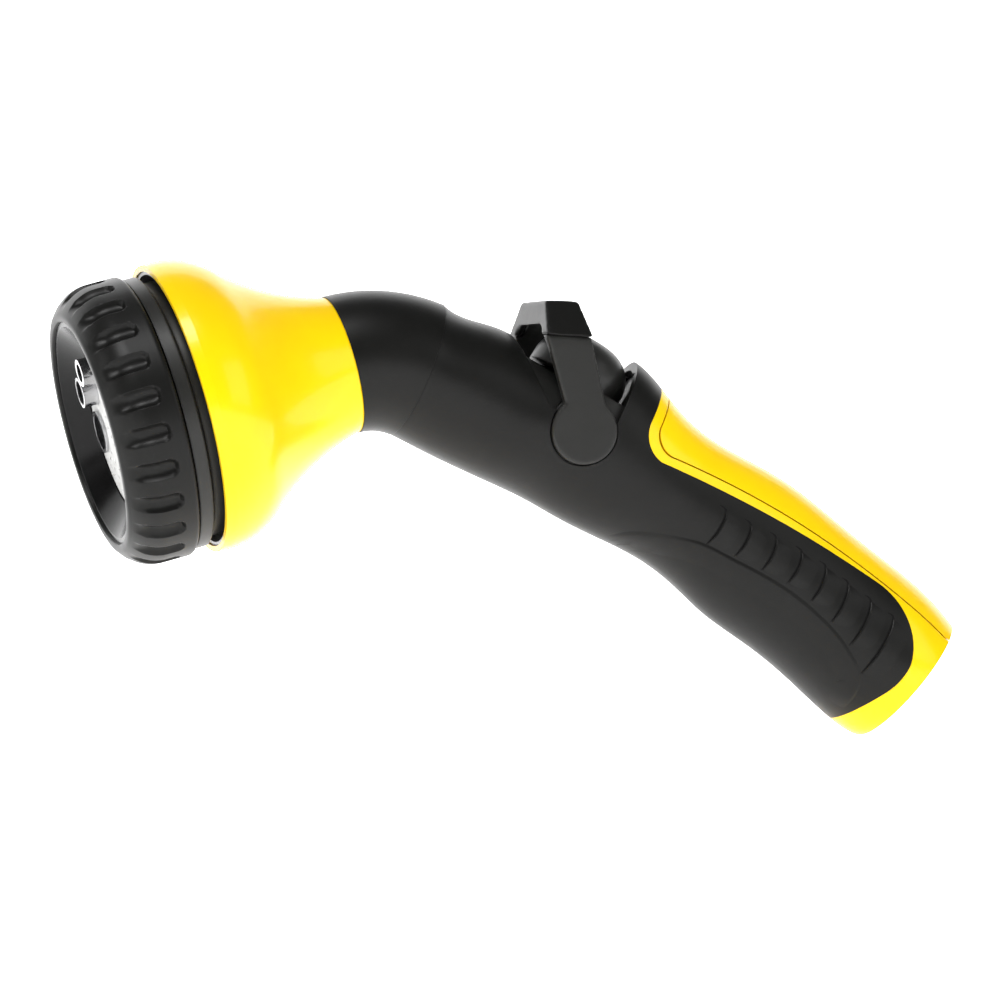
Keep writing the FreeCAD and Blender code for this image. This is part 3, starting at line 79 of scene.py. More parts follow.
@dataclass(frozen=True)
class Finish:
    """How one moulded, rubber or metal surface looks.

    Colours are linear and lengths are in metres.
    """

    slot: str
    colour: tuple[float, float, float]
    shade: tuple[float, float, float]
    roughness: float
    roughness_spread: float = 0.08
    metallic: float = 0.0
    specular: float = 0.5
    coat: float = 0.0
    coat_roughness: float = 0.1
    subsurface: float = 0.0
    scatter: tuple[float, float, float] = (1.0, 0.6, 0.1)
    scatter_depth: float = 1.5 * MM
    grain_strength: float = 0.35
    grain: float = 0.5 * MM
    grain_height: float = 0.02 * MM
    blotch: float = 14.0 * MM
    edge_radius: float = 0.35 * MM

    def make(self) -> bpy.types.Material:
        """Build the node material.

        Returns:
            The material, with colour and gloss that vary over the surface, fine grain and soft edges.
        """
        material = bpy.data.materials.new(f"{self.slot}_finish")
        material.use_nodes = True
        tree = material.node_tree
        shader = tree.nodes["Principled BSDF"]
        shader.inputs["Metallic"].default_value = self.metallic
        shader.inputs["Specular IOR Level"].default_value = self.specular
        shader.inputs["Coat Weight"].default_value = self.coat
        shader.inputs["Coat Roughness"].default_value = self.coat_roughness
        shader.inputs["Subsurface Weight"].default_value = self.subsurface
        shader.inputs["Subsurface Radius"].default_value = self.scatter
        shader.inputs["Subsurface Scale"].default_value = self.scatter_depth
        place = tree.nodes.new("ShaderNodeTexCoord")
        blotches = self._noise(tree, place, 1.0 / self.blotch, 3.0)
        blend = tree.nodes.new("ShaderNodeMix")
        blend.data_type = "RGBA"
        blend.inputs[6].default_value = (*self.colour, 1.0)
        blend.inputs[7].default_value = (*self.shade, 1.0)
        tree.links.new(blotches.outputs["Fac"], blend.inputs[0])
        tree.links.new(blend.outputs[2], shader.inputs["Base Color"])
        gloss = tree.nodes.new("ShaderNodeMapRange")
        gloss.inputs["To Min"].default_value = max(self.roughness - self.roughness_spread, 0.02)
        gloss.inputs["To Max"].default_value = self.roughness + self.roughness_spread
        smears = self._noise(tree, place, 2.5 / self.blotch, 5.0)
        tree.links.new(smears.outputs["Fac"], gloss.inputs["Value"])
        tree.links.new(gloss.outputs["Result"], shader.inputs["Roughness"])
        grain = self._noise(tree, place, 1.0 / self.grain, 2.0)
        bump = tree.nodes.new("ShaderNodeBump")
        bump.inputs["Strength"].default_value = self.grain_strength
        bump.inputs["Distance"].default_value = self.grain_height
        tree.links.new(grain.outputs["Fac"], bump.inputs["Height"])
        soft_edge = tree.nodes.new("ShaderNodeBevel")
        soft_edge.samples = 4
        soft_edge.inputs["Radius"].default_value = self.edge_radius
        tree.links.new(soft_edge.outputs["Normal"], bump.inputs["Normal"])
        tree.links.new(bump.outputs["Normal"], shader.inputs["Normal"])
        return material

    @staticmethod
    def _noise(tree: bpy.types.NodeTree, place: bpy.types.Node, scale: float,
               detail: float) -> bpy.types.Node:
        """Add a noise texture in the object's own coordinates.

        Args:
            tree: The material's node tree.
            place: The texture coordinate node.
            scale: Noise cells in each metre.
            detail: Number of finer layers.

        Returns:
            The noise node.
        """
        noise = tree.nodes.new("ShaderNodeTexNoise")
        noise.inputs["Scale"].default_value = scale
        noise.inputs["Detail"].default_value = detail
        tree.links.new(place.outputs["Object"], noise.inputs["Vector"])
        return noise


FINISHES: tuple[Finish, ...] = (
    Finish("yellow_plastic", (0.95, 0.64, 0.0008), (0.90, 0.55, 0.0008), 0.24, 0.05, specular=0.2,
           coat=0.15, coat_roughness=0.06, subsurface=0.1, grain=1.2 * MM, grain_height=0.008 * MM),
    Finish("body_rubber", (0.0065, 0.0065, 0.006), (0.004, 0.004, 0.0036), 0.37, 0.05, specular=0.18,
           grain=0.35 * MM, grain_height=0.05 * MM),
    Finish("black_plastic", (0.016, 0.016, 0.015), (0.011, 0.011, 0.010), 0.38, 0.08, specular=0.3,
           grain=0.45 * MM, grain_height=0.03 * MM, edge_radius=0.8 * MM),
    Finish("cup_plastic", (0.002, 0.002, 0.002), (0.0015, 0.0015, 0.0015), 0.2, 0.05, specular=0.14,
           grain=1.5 * MM, grain_height=0.006 * MM),
    Finish("grey_plastic", (0.50, 0.51, 0.52), (0.42, 0.43, 0.44), 0.35),
    Finish("face_plastic", (0.74, 0.74, 0.72), (0.66, 0.66, 0.65), 0.24, coat=0.2,
           grain=0.8 * MM, grain_height=0.02 * MM),
    Finish("inner_plastic", (0.70, 0.69, 0.64), (0.62, 0.61, 0.57), 0.42),
    Finish("chrome", (0.52, 0.52, 0.53), (0.44, 0.44, 0.45), 0.16, 0.05, metallic=1.0,
           grain=0.6 * MM, grain_height=0.01 * MM, edge_radius=0.2 * MM),
    Finish("steel", (0.55, 0.55, 0.56), (0.46, 0.46, 0.47), 0.32, 0.1, metallic=1.0,
           grain=0.3 * MM, grain_height=0.02 * MM, edge_radius=0.1 * MM),
    Finish("brass", (0.70, 0.50, 0.22), (0.60, 0.41, 0.16), 0.28, 0.1, metallic=1.0),
    Finish("seal_rubber", (0.005, 0.005, 0.005), (0.003, 0.003, 0.003), 0.7, specular=0.12,
           grain=0.4 * MM, grain_height=0.03 * MM, edge_radius=0.15 * MM),
)


class Palette:
    """Holds one material for each finish and dresses pieces with them."""

    DARK_NODES: tuple[str, ...] = ("valve_rotor", "rotor_bushes")

    def __init__(self) -> None:
        """Build every finish's material."""
        self.materials: dict[str, bpy.types.Material] = {f.slot: f.make() for f in FINISHES}

    def dress_carried_nodes(self) -> None:
        """Give every carried-over node the material of its own slot."""
        slots = {p["node"]: p["material_slot"] for p in frame["record"]["subparts"]}
        slots.update({node: "black_plastic" for node in self.DARK_NODES})
        for name, piece in frame["nodes"].items():
            for holder in piece.material_slots:
                holder.material = self.materials[slots[name]]
            LOG.info("%s: %s", name, slots[name])


class HandleFrame:
    """Turns places measured along the handle into the nozzle's frame."""

    PITCH: float = math.radians(31.5)

    @classmethod
    def point(cls, along: float, up: float, out: float = 0.0) -> Vector:
        """Give a place beside the handle.

        Args:
            along: Distance along the handle from the hose inlet, in millimetres, less than zero
                towards the head.
            up: Height over the handle's line, in millimetres.
            out: Distance from the middle plane, in millimetres.

        Returns:
            The place, in metres.
        """
        c, s = math.cos(cls.PITCH), math.sin(cls.PITCH)
        return Vector((along * c + up * s, out, -along * s + up * c)) * MM


def smooth(t: float) -> float:
    """Ease from 0 to 1 with no slope at either end.

    Args:
        t: Share of the way, which is held between 0 and 1.

    Returns:
        The eased share.
    """
    t = min(max(t, 0.0), 1.0)
    return t * t * (3.0 - 2.0 * t)


def through(points: list[tuple[float, float]], t: float) -> tuple[float, float]:
    """Give a place on the smooth line through some points.

    Args:
        points: Places that the line goes through.
        t: Share of the way from the first point to the last.

    Returns:
        The place on the line.
    """
    last = len(points) - 1
    at = min(max(t, 0.0), 1.0) * last
    i = min(int(at), last - 1)
    u = at - i
    p0, p1, p2, p3 = (points[min(max(i + k, 0), last)] for k in (-1, 0, 1, 2))
    return tuple(
        0.5 * (2 * b + (c - a) * u + (2 * a - 5 * b + 4 * c - d) * u * u + (3 * b - a - 3 * c + d) * u ** 3)
        for a, b, c, d in zip(p0, p1, p2, p3)
    )


class ShapeTree:
    """A Geometry Nodes tree with named inputs, which ends in real geometry and a material."""

    def __init__(self, name: str, sockets: dict[str, str]) -> None:
        """Start the tree.

        Args:
            name: The tree's name.
            sockets: Kind of each named input, apart from its geometry and its material.
        """
        self.tree = bpy.data.node_groups.new(name, "GeometryNodeTree")
        for label, kind in {"Geometry": "Geometry", **sockets, "Material": "Material"}.items():
            self.tree.interface.new_socket(label, in_out="INPUT", socket_type=f"NodeSocket{kind}")
        self.tree.interface.new_socket("Geometry", in_out="OUTPUT", socket_type="NodeSocketGeometry")
        self.given = self.new("NodeGroupInput").outputs
        self.link = self.tree.links.new

    def new(self, kind: str, operation: str | None = None) -> bpy.types.Node:
        """Add a node.

        Args:
            kind: The node's type.
            operation: What a mathematics node does.

        Returns:
            The node.
        """
        node = self.tree.nodes.new(kind)
        if operation is not None:
            node.operation = operation
        return node

    def end(self, shape: bpy.types.NodeSocket) -> None:
        """Realise the shape, give it the material and hand it out.

        Args:
            shape: The socket that the finished geometry comes from.
        """
        real, paint = self.new("GeometryNodeRealizeInstances"), self.new("GeometryNodeSetMaterial")
        self.link(shape, real.inputs["Geometry"])
        self.link(real.outputs["Geometry"], paint.inputs["Geometry"])
        self.link(self.given["Material"], paint.inputs["Material"])
        self.link(paint.outputs["Geometry"], self.new("NodeGroupOutput").inputs["Geometry"])

    def identifiers(self) -> dict[str, str]:
        """Give each named input's identifier.

        Returns:
            Identifiers by the inputs' names.
        """
        return {s.name: s.identifier for s in self.tree.interface.items_tree if s.in_out == "INPUT"}


class RoundTree(ShapeTree):
    """Repeats one sector of a ring about its axis, the local Z axis."""

    def __init__(self) -> None:
        """Build the node tree."""
        super().__init__("repeat_sector", {"Count": "Int", "Step": "Float", "Join distance": "Float"})
        line = self.new("GeometryNodeMeshLine")
        line.inputs["Offset"].default_value = (0.0, 0.0, 0.0)
        self.link(self.given["Count"], line.inputs["Count"])
        angle = self.new("ShaderNodeMath", "MULTIPLY")
        self.link(self.new("GeometryNodeInputIndex").outputs[0], angle.inputs[0])
        self.link(self.given["Step"], angle.inputs[1])
        turn = self.new("ShaderNodeCombineXYZ")
        self.link(angle.outputs[0], turn.inputs["Z"])
        copies = self.new("GeometryNodeInstanceOnPoints")
        self.link(line.outputs["Mesh"], copies.inputs["Points"])
        self.link(self.given["Geometry"], copies.inputs["Instance"])
        self.link(turn.outputs["Vector"], copies.inputs["Rotation"])
        real = self.new("GeometryNodeRealizeInstances")
        self.link(copies.outputs["Instances"], real.inputs["Geometry"])
        join = self.new("GeometryNodeMergeByDistance")
        self.link(real.outputs["Geometry"], join.inputs["Geometry"])
        self.link(self.given["Join distance"], join.inputs["Distance"])
        self.end(join.outputs["Geometry"])


class ThreadTree(ShapeTree):
    """Sweeps a ridge along a helix about the local Z axis."""

    STEPS_PER_TURN: int = 72
    RIDGE_CORNERS: int = 6

    def __init__(self) -> None:
        """Build the node tree."""
        super().__init__("thread_ridge", {"Turns": "Float", "Radius": "Float", "Length": "Float",
                                          "Ridge": "Float"})
        helix = self.new("GeometryNodeCurveSpiral")
        helix.inputs["Resolution"].default_value = self.STEPS_PER_TURN
        for source, target in (("Turns", "Rotations"), ("Radius", "Start Radius"),
                               ("Radius", "End Radius"), ("Length", "Height")):
            self.link(self.given[source], helix.inputs[target])
        section = self.new("GeometryNodeCurvePrimitiveCircle")
        section.inputs["Resolution"].default_value = self.RIDGE_CORNERS
        self.link(self.given["Ridge"], section.inputs["Radius"])
        sweep = self.new("GeometryNodeCurveToMesh")
        sweep.inputs["Fill Caps"].default_value = True
        self.link(helix.outputs["Curve"], sweep.inputs["Curve"])
        self.link(section.outputs["Curve"], sweep.inputs["Profile Curve"])
        self.end(sweep.outputs["Mesh"])


class DrapeTree(ShapeTree):
    """Lays a flat sheet on the side of a piece and lifts each point by its own rise."""

    REACH: float = 100.0 * MM

    def __init__(self) -> None:
        """Build the node tree."""
        super().__init__("drape_on_side", {"Skin": "Object", "Inward": "Float", "Height": "Float"})
        skin = self.new("GeometryNodeObjectInfo")
        self.link(self.given["Skin"], skin.inputs["Object"])
        ray = self.new("ShaderNodeCombineXYZ")
        self.link(self.given["Inward"], ray.inputs["Y"])
        cast = self.new("GeometryNodeRaycast")
        cast.inputs["Ray Length"].default_value = self.REACH
        self.link(skin.outputs["Geometry"], cast.inputs["Target Geometry"])
        self.link(ray.outputs["Vector"], cast.inputs["Ray Direction"])
        missed = self.new("FunctionNodeBooleanMath", "NOT")
        self.link(cast.outputs["Is Hit"], missed.inputs[0])
        trim = self.new("GeometryNodeDeleteGeometry")
        self.link(self.given["Geometry"], trim.inputs["Geometry"])
        self.link(missed.outputs["Boolean"], trim.inputs["Selection"])
        rise = self.new("GeometryNodeInputNamedAttribute")
        rise.data_type = "FLOAT"
        rise.inputs["Name"].default_value = "rise"
        lift = self.new("ShaderNodeMath", "MULTIPLY")
        self.link(rise.outputs["Attribute"], lift.inputs[0])
        self.link(self.given["Height"], lift.inputs[1])
        along = self.new("ShaderNodeVectorMath", "SCALE")
        self.link(cast.outputs["Hit Normal"], along.inputs[0])
        self.link(lift.outputs[0], along.inputs["Scale"])
        total = self.new("ShaderNodeVectorMath", "ADD")
        self.link(cast.outputs["Hit Position"], total.inputs[0])
        self.link(along.outputs[0], total.inputs[1])
        move = self.new("GeometryNodeSetPosition")
        self.link(trim.outputs["Geometry"], move.inputs["Geometry"])
        self.link(total.outputs[0], move.inputs["Position"])
        shade = self.new("GeometryNodeSetShadeSmooth")
        self.link(move.outputs["Geometry"], shade.inputs["Geometry"])
        self.end(shade.outputs[0])


def bake(flat: bpy.types.Object, shape: ShapeTree, values: dict[str, object],
         name: str) -> bpy.types.Object:
    """Run a node tree on an object and keep the result as a plain mesh.

    Args:
        flat: The object that the tree starts from, which is removed afterwards.
        shape: The Geometry Nodes tree.
        values: Input values by name.
        name: Name of the finished piece.

    Returns:
        The finished piece.
    """
    modifier = flat.modifiers.new("shape", "NODES")
    modifier.node_group = shape.tree
    keys = shape.identifiers()
    for label, value in values.items():
        modifier[keys[label]] = value
    bpy.context.view_layer.update()
    graph = bpy.context.evaluated_depsgraph_get()
    mesh = bpy.data.meshes.new_from_object(flat.evaluated_get(graph))
    flat.modifiers.clear()
    bpy.data.objects.remove(flat)
    mesh.name = name
    piece = bpy.data.objects.new(name, mesh)
    bpy.context.scene.collection.objects.link(piece)
    return piece


def flat_object(name: str, points: list[Vector], faces: list[tuple[int, ...]],
                rises: list[float] | None = None) -> bpy.types.Object:
    """Make a mesh object from points and faces.

    Args:
        name: The object's name.
        points: The corners, in metres.
        faces: Corner numbers of each face.
        rises: How far each corner is lifted later, as a share.

    Returns:
        The linked object.
    """
    mesh = bpy.data.meshes.new(name)
    mesh.from_pydata([tuple(p) for p in points], [], faces)
    if rises is not None:
        mesh.attributes.new("rise", "FLOAT", "POINT").data.foreach_set("value", rises)
    mesh.update()
    piece = bpy.data.objects.new(name, mesh)
    bpy.context.scene.collection.objects.link(piece)
    return piece


def strip_faces(rows: int, row: int, side: Side) -> list[tuple[int, ...]]:
    """Join rows of points into quads that face away from the handle.

    Args:
        rows: Number of gaps between rows.
        row: Points in each row.
        side: The side of the handle.

    Returns:
        The faces.
    """
    quads = [(i * row + k, (i + 1) * row + k, (i + 1) * row + k + 1, i * row + k + 1)
             for i in range(rows) for k in range(row - 1)]
    return quads if side is Side.FAR else [quad[::-1] for quad in quads]


def finish_piece(piece: bpy.types.Object, body: Body) -> None:
    """Attach a finished piece to its body and log its face count.

    Args:
        piece: The finished piece.
        body: The body that it moves with.
    """
    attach(piece, body.value)
    LOG.info("%s: %d faces", piece.name, len(piece.data.polygons))


@dataclass
class GripRelief:
    """The eight overlapping scales and the stepped finger pad moulded into the grip's soft skin, each scale edged
    with a dark ribbon of painted shade.

    Lengths are in millimetres.
    """

    scale_tops: list[tuple[float, float]] = field(default_factory=lambda: [
        (-70.4, 10.6), (-62.6, 11.0), (-54.8, 11.7), (-46.7, 12.2),
        (-38.9, 12.3), (-31.2, 11.7), (-23.4, 11.0), (-15.6, 10.2)])
    scale_feet: list[tuple[float, float]] = field(default_factory=lambda: [
        (-70.2, -0.3), (-62.0, 1.0), (-53.8, 1.6), (-46.0, 2.3),
        (-37.9, 1.6), (-30.2, -0.4), (-22.5, -2.9), (-15.7, -8.1)])
    pad_edge: list[tuple[float, float]] = field(default_factory=lambda: [
        (-93.4, -11.7), (-86.6, -6.5), (-73.1, -1.1), (-62.0, 0.2), (-50.0, 1.0),
        (-40.0, 0.6), (-30.2, -1.2), (-22.4, -4.0), (-14.9, -8.8), (-12.8, -17.4)])
    scale_width: float = 6.6
    scale_height: float = 0.5
    scale_bow: float = 0.8
    hook: float = 2.2
    crease_half: float = 0.4
    crease_height: float = 0.05
    crease_section: tuple[tuple[float, float], ...] = (
        (-1.0, -0.6), (-0.7, 1.0), (0.0, 1.3), (0.7, 1.0), (1.0, -0.6))
    pad_depth: float = 7.0
    pad_height: float = 0.4
    sink: float = 0.12
    beside: float = 60.0

    def crease_line(self, top: tuple[float, float], foot: tuple[float, float]) -> list[tuple[float, float]]:
        """Give the line along a scale where a dark ribbon of painted shade marks the crease, hooked back at its
        top.

        Args:
            top: Upper end of the scale's edge.
            foot: Lower end of that edge.

        Returns:
            Places that the crease goes through.
        """
        line = [(top[0] - self.hook, top[1] + 0.1), (top[0] - 0.4, top[1] - 0.1)]
        for v in (0.14, 0.35, 0.6, 0.82, 1.0):
            line.append((top[0] + (foot[0] - top[0]) * v + self.scale_bow * math.sin(math.pi * v),
                         top[1] + (foot[1] - top[1]) * v))
        return line

    def crease_shade_grid(self, top: tuple[float, float], foot: tuple[float, float],
                    side: Side) -> tuple[list[Vector], list[tuple[int, ...]], list[float]]:
        """Lay out one crease's ribbon of painted shade, thin and tapering, flat, beside the handle.

        Args:
            top: Upper end of the scale's edge.
            foot: Lower end of that edge.
            side: The side of the handle.

        Returns:
            Points, faces and rises.
        """
        line, count, near = self.crease_line(top, foot), 40, 0.02
        points, rises = [], []
        for i in range(count + 1):
            t = i / count
            x, z = through(line, t)
            x1, z1 = through(line, t - near)
            x2, z2 = through(line, t + near)
            length = math.hypot(x2 - x1, z2 - z1)
            half = self.crease_half * (0.25 + 0.75 * smooth(t / 0.25) * smooth((1.0 - t) / 0.3))
            for k, rise in self.crease_section:
                points.append(HandleFrame.point(x + k * half * (z1 - z2) / length - self.crease_half * 0.5,
                                                z + k * half * (x2 - x1) / length,
                                                -self.beside * side.value))
                rises.append(rise)
        faces = strip_faces(count, len(self.crease_section), side)
        return points, [quad[::-1] for quad in faces], rises

    def scale_grid(self, top: tuple[float, float], foot: tuple[float, float],
                   side: Side) -> tuple[list[Vector], list[tuple[int, ...]], list[float]]:
        """Lay out one scale, flat, beside the handle.

        Args:
            top: Upper end of the scale's free edge.
            foot: Lower end of that edge.
            side: The side of the handle.

        Returns:
            Points, faces and rises.
        """
        across, down = 12, 26
        points, rises = [], []
        for i in range(across + 1):
            u = i / across
            for k in range(down + 1):
                v = k / down
                along, up = through(self.crease_line(top, foot)[1:], v)
                points.append(HandleFrame.point(along + self.scale_width * u, up,
                                                -self.beside * side.value))
                ends = smooth(v / 0.3) * smooth((1.0 - v) / 0.3)
                rises.append((1.0 - u) ** 1.4 * ends * (1.0 + self.sink) - self.sink)
        row = down + 1
        faces = strip_faces(across, row, side)
        wall = len(points)
        for k in range(row):
            points.append(points[k].copy())
            rises.append(-self.sink * 2.0)
        for k in range(down):
            quad = (wall + k, k, k + 1, wall + k + 1)
            faces.append(quad if side is Side.FAR else quad[::-1])
        return points, faces, rises

    def pad_grid(self, side: Side) -> tuple[list[Vector], list[tuple[int, ...]], list[float]]:
        """Lay out the finger pad's stepped edge, flat, beside the handle.

        Args:
            side: The side of the handle.

        Returns:
            Points, faces and rises.
        """
        along_count, near = 110, 0.01
        shares = [-0.08, -0.04, 0.0, 0.04, 0.09, 0.15, 0.25, 0.45, 0.7, 1.0]
        points, rises = [], []
        for i in range(along_count + 1):
            t = i / along_count
            x, z = through(self.pad_edge, t)
            x2, z2 = through(self.pad_edge, t + near)
            x1, z1 = through(self.pad_edge, t - near)
            length = math.hypot(x2 - x1, z2 - z1)
            nx, nz = (z2 - z1) / length, -(x2 - x1) / length
            ends = smooth(t / 0.12) * smooth((1.0 - t) / 0.06)
            for share in shares:
                points.append(HandleFrame.point(x + nx * share * self.pad_depth,
                                                z + nz * share * self.pad_depth,
                                                -self.beside * side.value))
                lip = smooth((share + 0.08) / 0.14) * (1.0 - smooth((share - 0.1) / 0.9))
                rises.append(lip * ends * (1.0 + self.sink) - self.sink)
        return points, strip_faces(along_count, len(shares), side), rises

    def build(self, palette: Palette, drape: DrapeTree) -> None:
        """Make the scales and the pad edge on both sides of the grip.

        Args:
            palette: The materials.
            drape: The node tree that lays them on the skin.
        """
        skin = frame["nodes"]["grip_overmould"]
        for side in Side:
            edges = list(zip(self.scale_tops, self.scale_feet))
            scales = [self.scale_grid(top, foot, side) for top, foot in edges]
            crease_shades = [self.crease_shade_grid(top, foot, side) for top, foot in edges]
            for label, height, slot, sheets in (
                ("grip_scales", self.scale_height, "body_rubber", scales),
                # The crease ribbons take the darker, rougher seal rubber: painted shade along each scale's edge.
                ("grip_creases", self.crease_height, "seal_rubber", crease_shades),
                ("finger_pad", self.pad_height, "body_rubber", [self.pad_grid(side)]),
            ):
                points, faces, rises = [], [], []
                for p, f, r in sheets:
                    faces += [tuple(n + len(points) for n in quad) for quad in f]
                    points += p
                    rises += r
                name = f"{label}_{side.name.lower()}"
                flat = flat_object(f"{name}_flat", points, faces, rises)
                piece = bake(flat, drape, {"Skin": skin, "Inward": side.value, "Height": height * MM,
                                           "Material": palette.materials[slot]}, name)
                finish_piece(piece, Body.FRAME)


@dataclass
class SelectorRing:
    """The soft grip ring of the turning head, with scooped flutes round its shoulder.

    Lengths are in millimetres, forward from the start of the bell.
    """

    rear: float = 52.6
    edge: float = 1.2
    radius: float = 38.2
    shoulder: float = 61.0
    curve: float = 11.3
    front: float = 70.3
    nose: float = 70.9
    nose_radius: float = 31.9
    inner: float = 33.4
    lip_inner: float = 30.4
    step: float = 68.4
    flutes: int = 24
    flute_rear: float = 56.6
    flute_fade: float = 65.5
    flute_front: float = 70.2
    flute_half: float = 2.5
    flute_depth: float = 1.7
    flute_taper: float = 0.15
    flute_hollow: float = 0.6
    flute_entry: float = 0.9
    lag: float = -4.8
    join: float = 0.02

    def outline(self) -> list[tuple[float, float, float, float]]:
        """Give the ring's closed section, from its rear inner corner outwards and round.

        Returns:
            For each point the distance forward, the radius, and the outward normal's two parts.
        """
        points = [(self.rear, self.inner + (self.radius - self.edge - self.inner) * k / 4, -1.0, 0.0)
                  for k in range(5)]
        for k in range(1, 5):
            a = math.radians(90.0 * k / 4)
            points.append((self.rear + self.edge * (1.0 - math.cos(a)),
                           self.radius - self.edge * (1.0 - math.sin(a)), -math.cos(a), math.sin(a)))
        run = self.shoulder - self.rear - self.edge
        points += [(self.rear + self.edge + run * k / 20, self.radius, 0.0, 1.0) for k in range(1, 21)]
        last = math.asin((self.front - self.shoulder) / self.curve)
        for k in range(1, 29):
            a = last * k / 28
            points.append((self.shoulder + self.curve * math.sin(a),
                           self.radius - self.curve * (1.0 - math.cos(a)), math.sin(a), math.cos(a)))
        for d, r in ((70.65, 32.9), (70.85, 32.4), (self.nose, self.nose_radius), (self.nose, 31.0),
                     (70.75, 30.6), (70.3, self.lip_inner), (69.4, self.lip_inner),
                     (self.step, self.lip_inner), (self.step, 32.0), (self.step, self.inner),
                     (64.0, self.inner), (58.0, self.inner)):
            points.append((d, r, 0.0, 0.0))
        return points

    def scoop(self, forward: float, aside: float) -> float:
        """Give how deep a flute is at a place on the ring.

        Args:
            forward: Distance forward.
            aside: Distance from the flute's middle line.

        Returns:
            The depth.
        """
        into = forward - self.flute_rear
        if into <= 0.0 or forward >= self.flute_front:
            return 0.0
        half = self.flute_half * math.sqrt(1.0 - max(1.0 - into / self.flute_half, 0.0) ** 2)
        ending = smooth((forward - self.flute_fade) / (self.flute_front - self.flute_fade))
        half *= 1.0 - self.flute_taper * ending
        if abs(aside) >= half:
            return 0.0
        across = (1.0 - (aside / half) ** 2) ** self.flute_hollow
        return self.flute_depth * across * (1.0 - ending) * smooth(into / self.flute_entry)

    def sector(self) -> tuple[list[Vector], list[tuple[int, ...]]]:
        """Lay out the part of the ring that holds one flute.

        Returns:
            Points and faces, with the ring's axis along local Z.
        """
        half_step = math.pi / self.flutes
        shares = [k / 13 for k in range(-13, 14)]
        section = self.outline()
        points, faces = [], []
        for share in shares:
            turn = share * half_step
            for d, r, nd, nr in section:
                cut = self.scoop(d, turn * self.radius) if nr > 0.3 and nd > -0.5 else 0.0
                r2, d2 = r - nr * cut, d - nd * cut
                points.append(Vector((r2 * math.cos(turn), r2 * math.sin(turn), d2)) * MM)
        n = len(section)
        for i in range(len(shares) - 1):
            for k in range(n):
                a, b = i * n + k, i * n + (k + 1) % n
                faces.append((a, a + n, b + n, b))
        return points, faces

    def build(self, palette: Palette, tree: RoundTree) -> None:
        """Make the ring in place of its plain solid.

        Args:
            palette: The materials.
            tree: The node tree that repeats the sector.
        """
        piece = bake(flat_object("ring_sector", *self.sector()), tree, {
            "Count": self.flutes, "Step": math.tau / self.flutes, "Join distance": self.join * MM,
            "Material": palette.materials["body_rubber"]}, "selector_ring_fluted")
        joint = next(j for j in frame["joints"] if j["name"] == "selector_turn")
        forward = Vector(joint["axis"]).normalized()
        side = Vector((0.0, -1.0, 0.0))
        up = side.cross(forward)
        if up.z < 0.0:
            up = -up
            side = -side
        lag = math.radians(self.lag)
        first = up * math.cos(lag) + side * math.sin(lag)
        second = forward.cross(first)
        place = Matrix((first, second, forward)).transposed().to_4x4()
        place.translation = Vector(joint["pos_m"])
        piece.data.transform(place)
        smooth_by_angle(piece)
        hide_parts("selector_ring")
        finish_piece(piece, Body.SELECTOR)


@dataclass
class RoundedSkin:
    """A soft moulded piece whose edges are rounded off, in place of its plain solid.

    Lengths are in millimetres.
    """

    node: str
    name: str
    slot: str
    body: Body
    cell: float = 0.4
    rounds: int = 14

    def build(self, palette: Palette) -> None:
        """Copy the plain solid, even out its faces and round its edges.

        Args:
            palette: The materials.
        """
        mesh = frame["nodes"][self.node].data.copy()
        mesh.materials.clear()
        rough = bpy.data.objects.new(f"{self.name}_rough", mesh)
        bpy.context.scene.collection.objects.link(rough)
        remesh = rough.modifiers.new("even_faces", "REMESH")
        remesh.mode = "VOXEL"
        remesh.voxel_size = self.cell * MM
        soften = rough.modifiers.new("round_edges", "SMOOTH")
        soften.factor = 0.5
        soften.iterations = self.rounds
        graph = bpy.context.evaluated_depsgraph_get()
        final = bpy.data.meshes.new_from_object(rough.evaluated_get(graph))
        rough.modifiers.clear()
        bpy.data.objects.remove(rough)
        final.name = self.name
        final.materials.append(palette.materials[self.slot])
        final.shade_smooth()
        piece = bpy.data.objects.new(self.name, final)
        bpy.context.scene.collection.objects.link(piece)
        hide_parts(self.node)
        finish_piece(piece, self.body)


@dataclass
class HoseThread:
    """The female thread that the hose coupling screws into.

    Lengths are in millimetres.
    """

    radius: float = 12.35
    ridge: float = 0.62
    pitch: float = 1.81
    start: float = 2.0
    length: float = 10.5
    axis: tuple[float, float, float] = (0.7727, 0.0, -0.6347)

    def build(self, palette: Palette, tree: ThreadTree) -> None:
        """Make the thread's ridge in the hose inlet.

        Args:
            palette: The materials.
            tree: The node tree that sweeps the ridge.
        """
        piece = bake(flat_object("thread_seed", [Vector((0.0, 0.0, 0.0))], []), tree, {
            "Turns": self.length / self.pitch, "Radius": self.radius * MM,
            "Length": self.length * MM, "Ridge": self.ridge * MM,
            "Material": palette.materials["black_plastic"]}, "hose_thread")
        inward = -Vector(self.axis).normalized()
        side = Vector((0.0, 1.0, 0.0))
        place = Matrix((side, inward.cross(side), inward)).transposed().to_4x4()
        place.translation = inward * self.start * MM
        piece.data.transform(place)
        smooth_by_angle(piece)
        finish_piece(piece, Body.FRAME)


def smooth_by_angle(piece: bpy.types.Object, degrees: float = 38.0) -> None:
    """Shade a piece smooth, with sharp edges where its faces meet at more than an angle.

    Args:
        piece: The piece.
        degrees: The angle.
    """
    piece.data.shade_smooth()
    piece.data.set_sharp_from_angle(angle=math.radians(degrees))


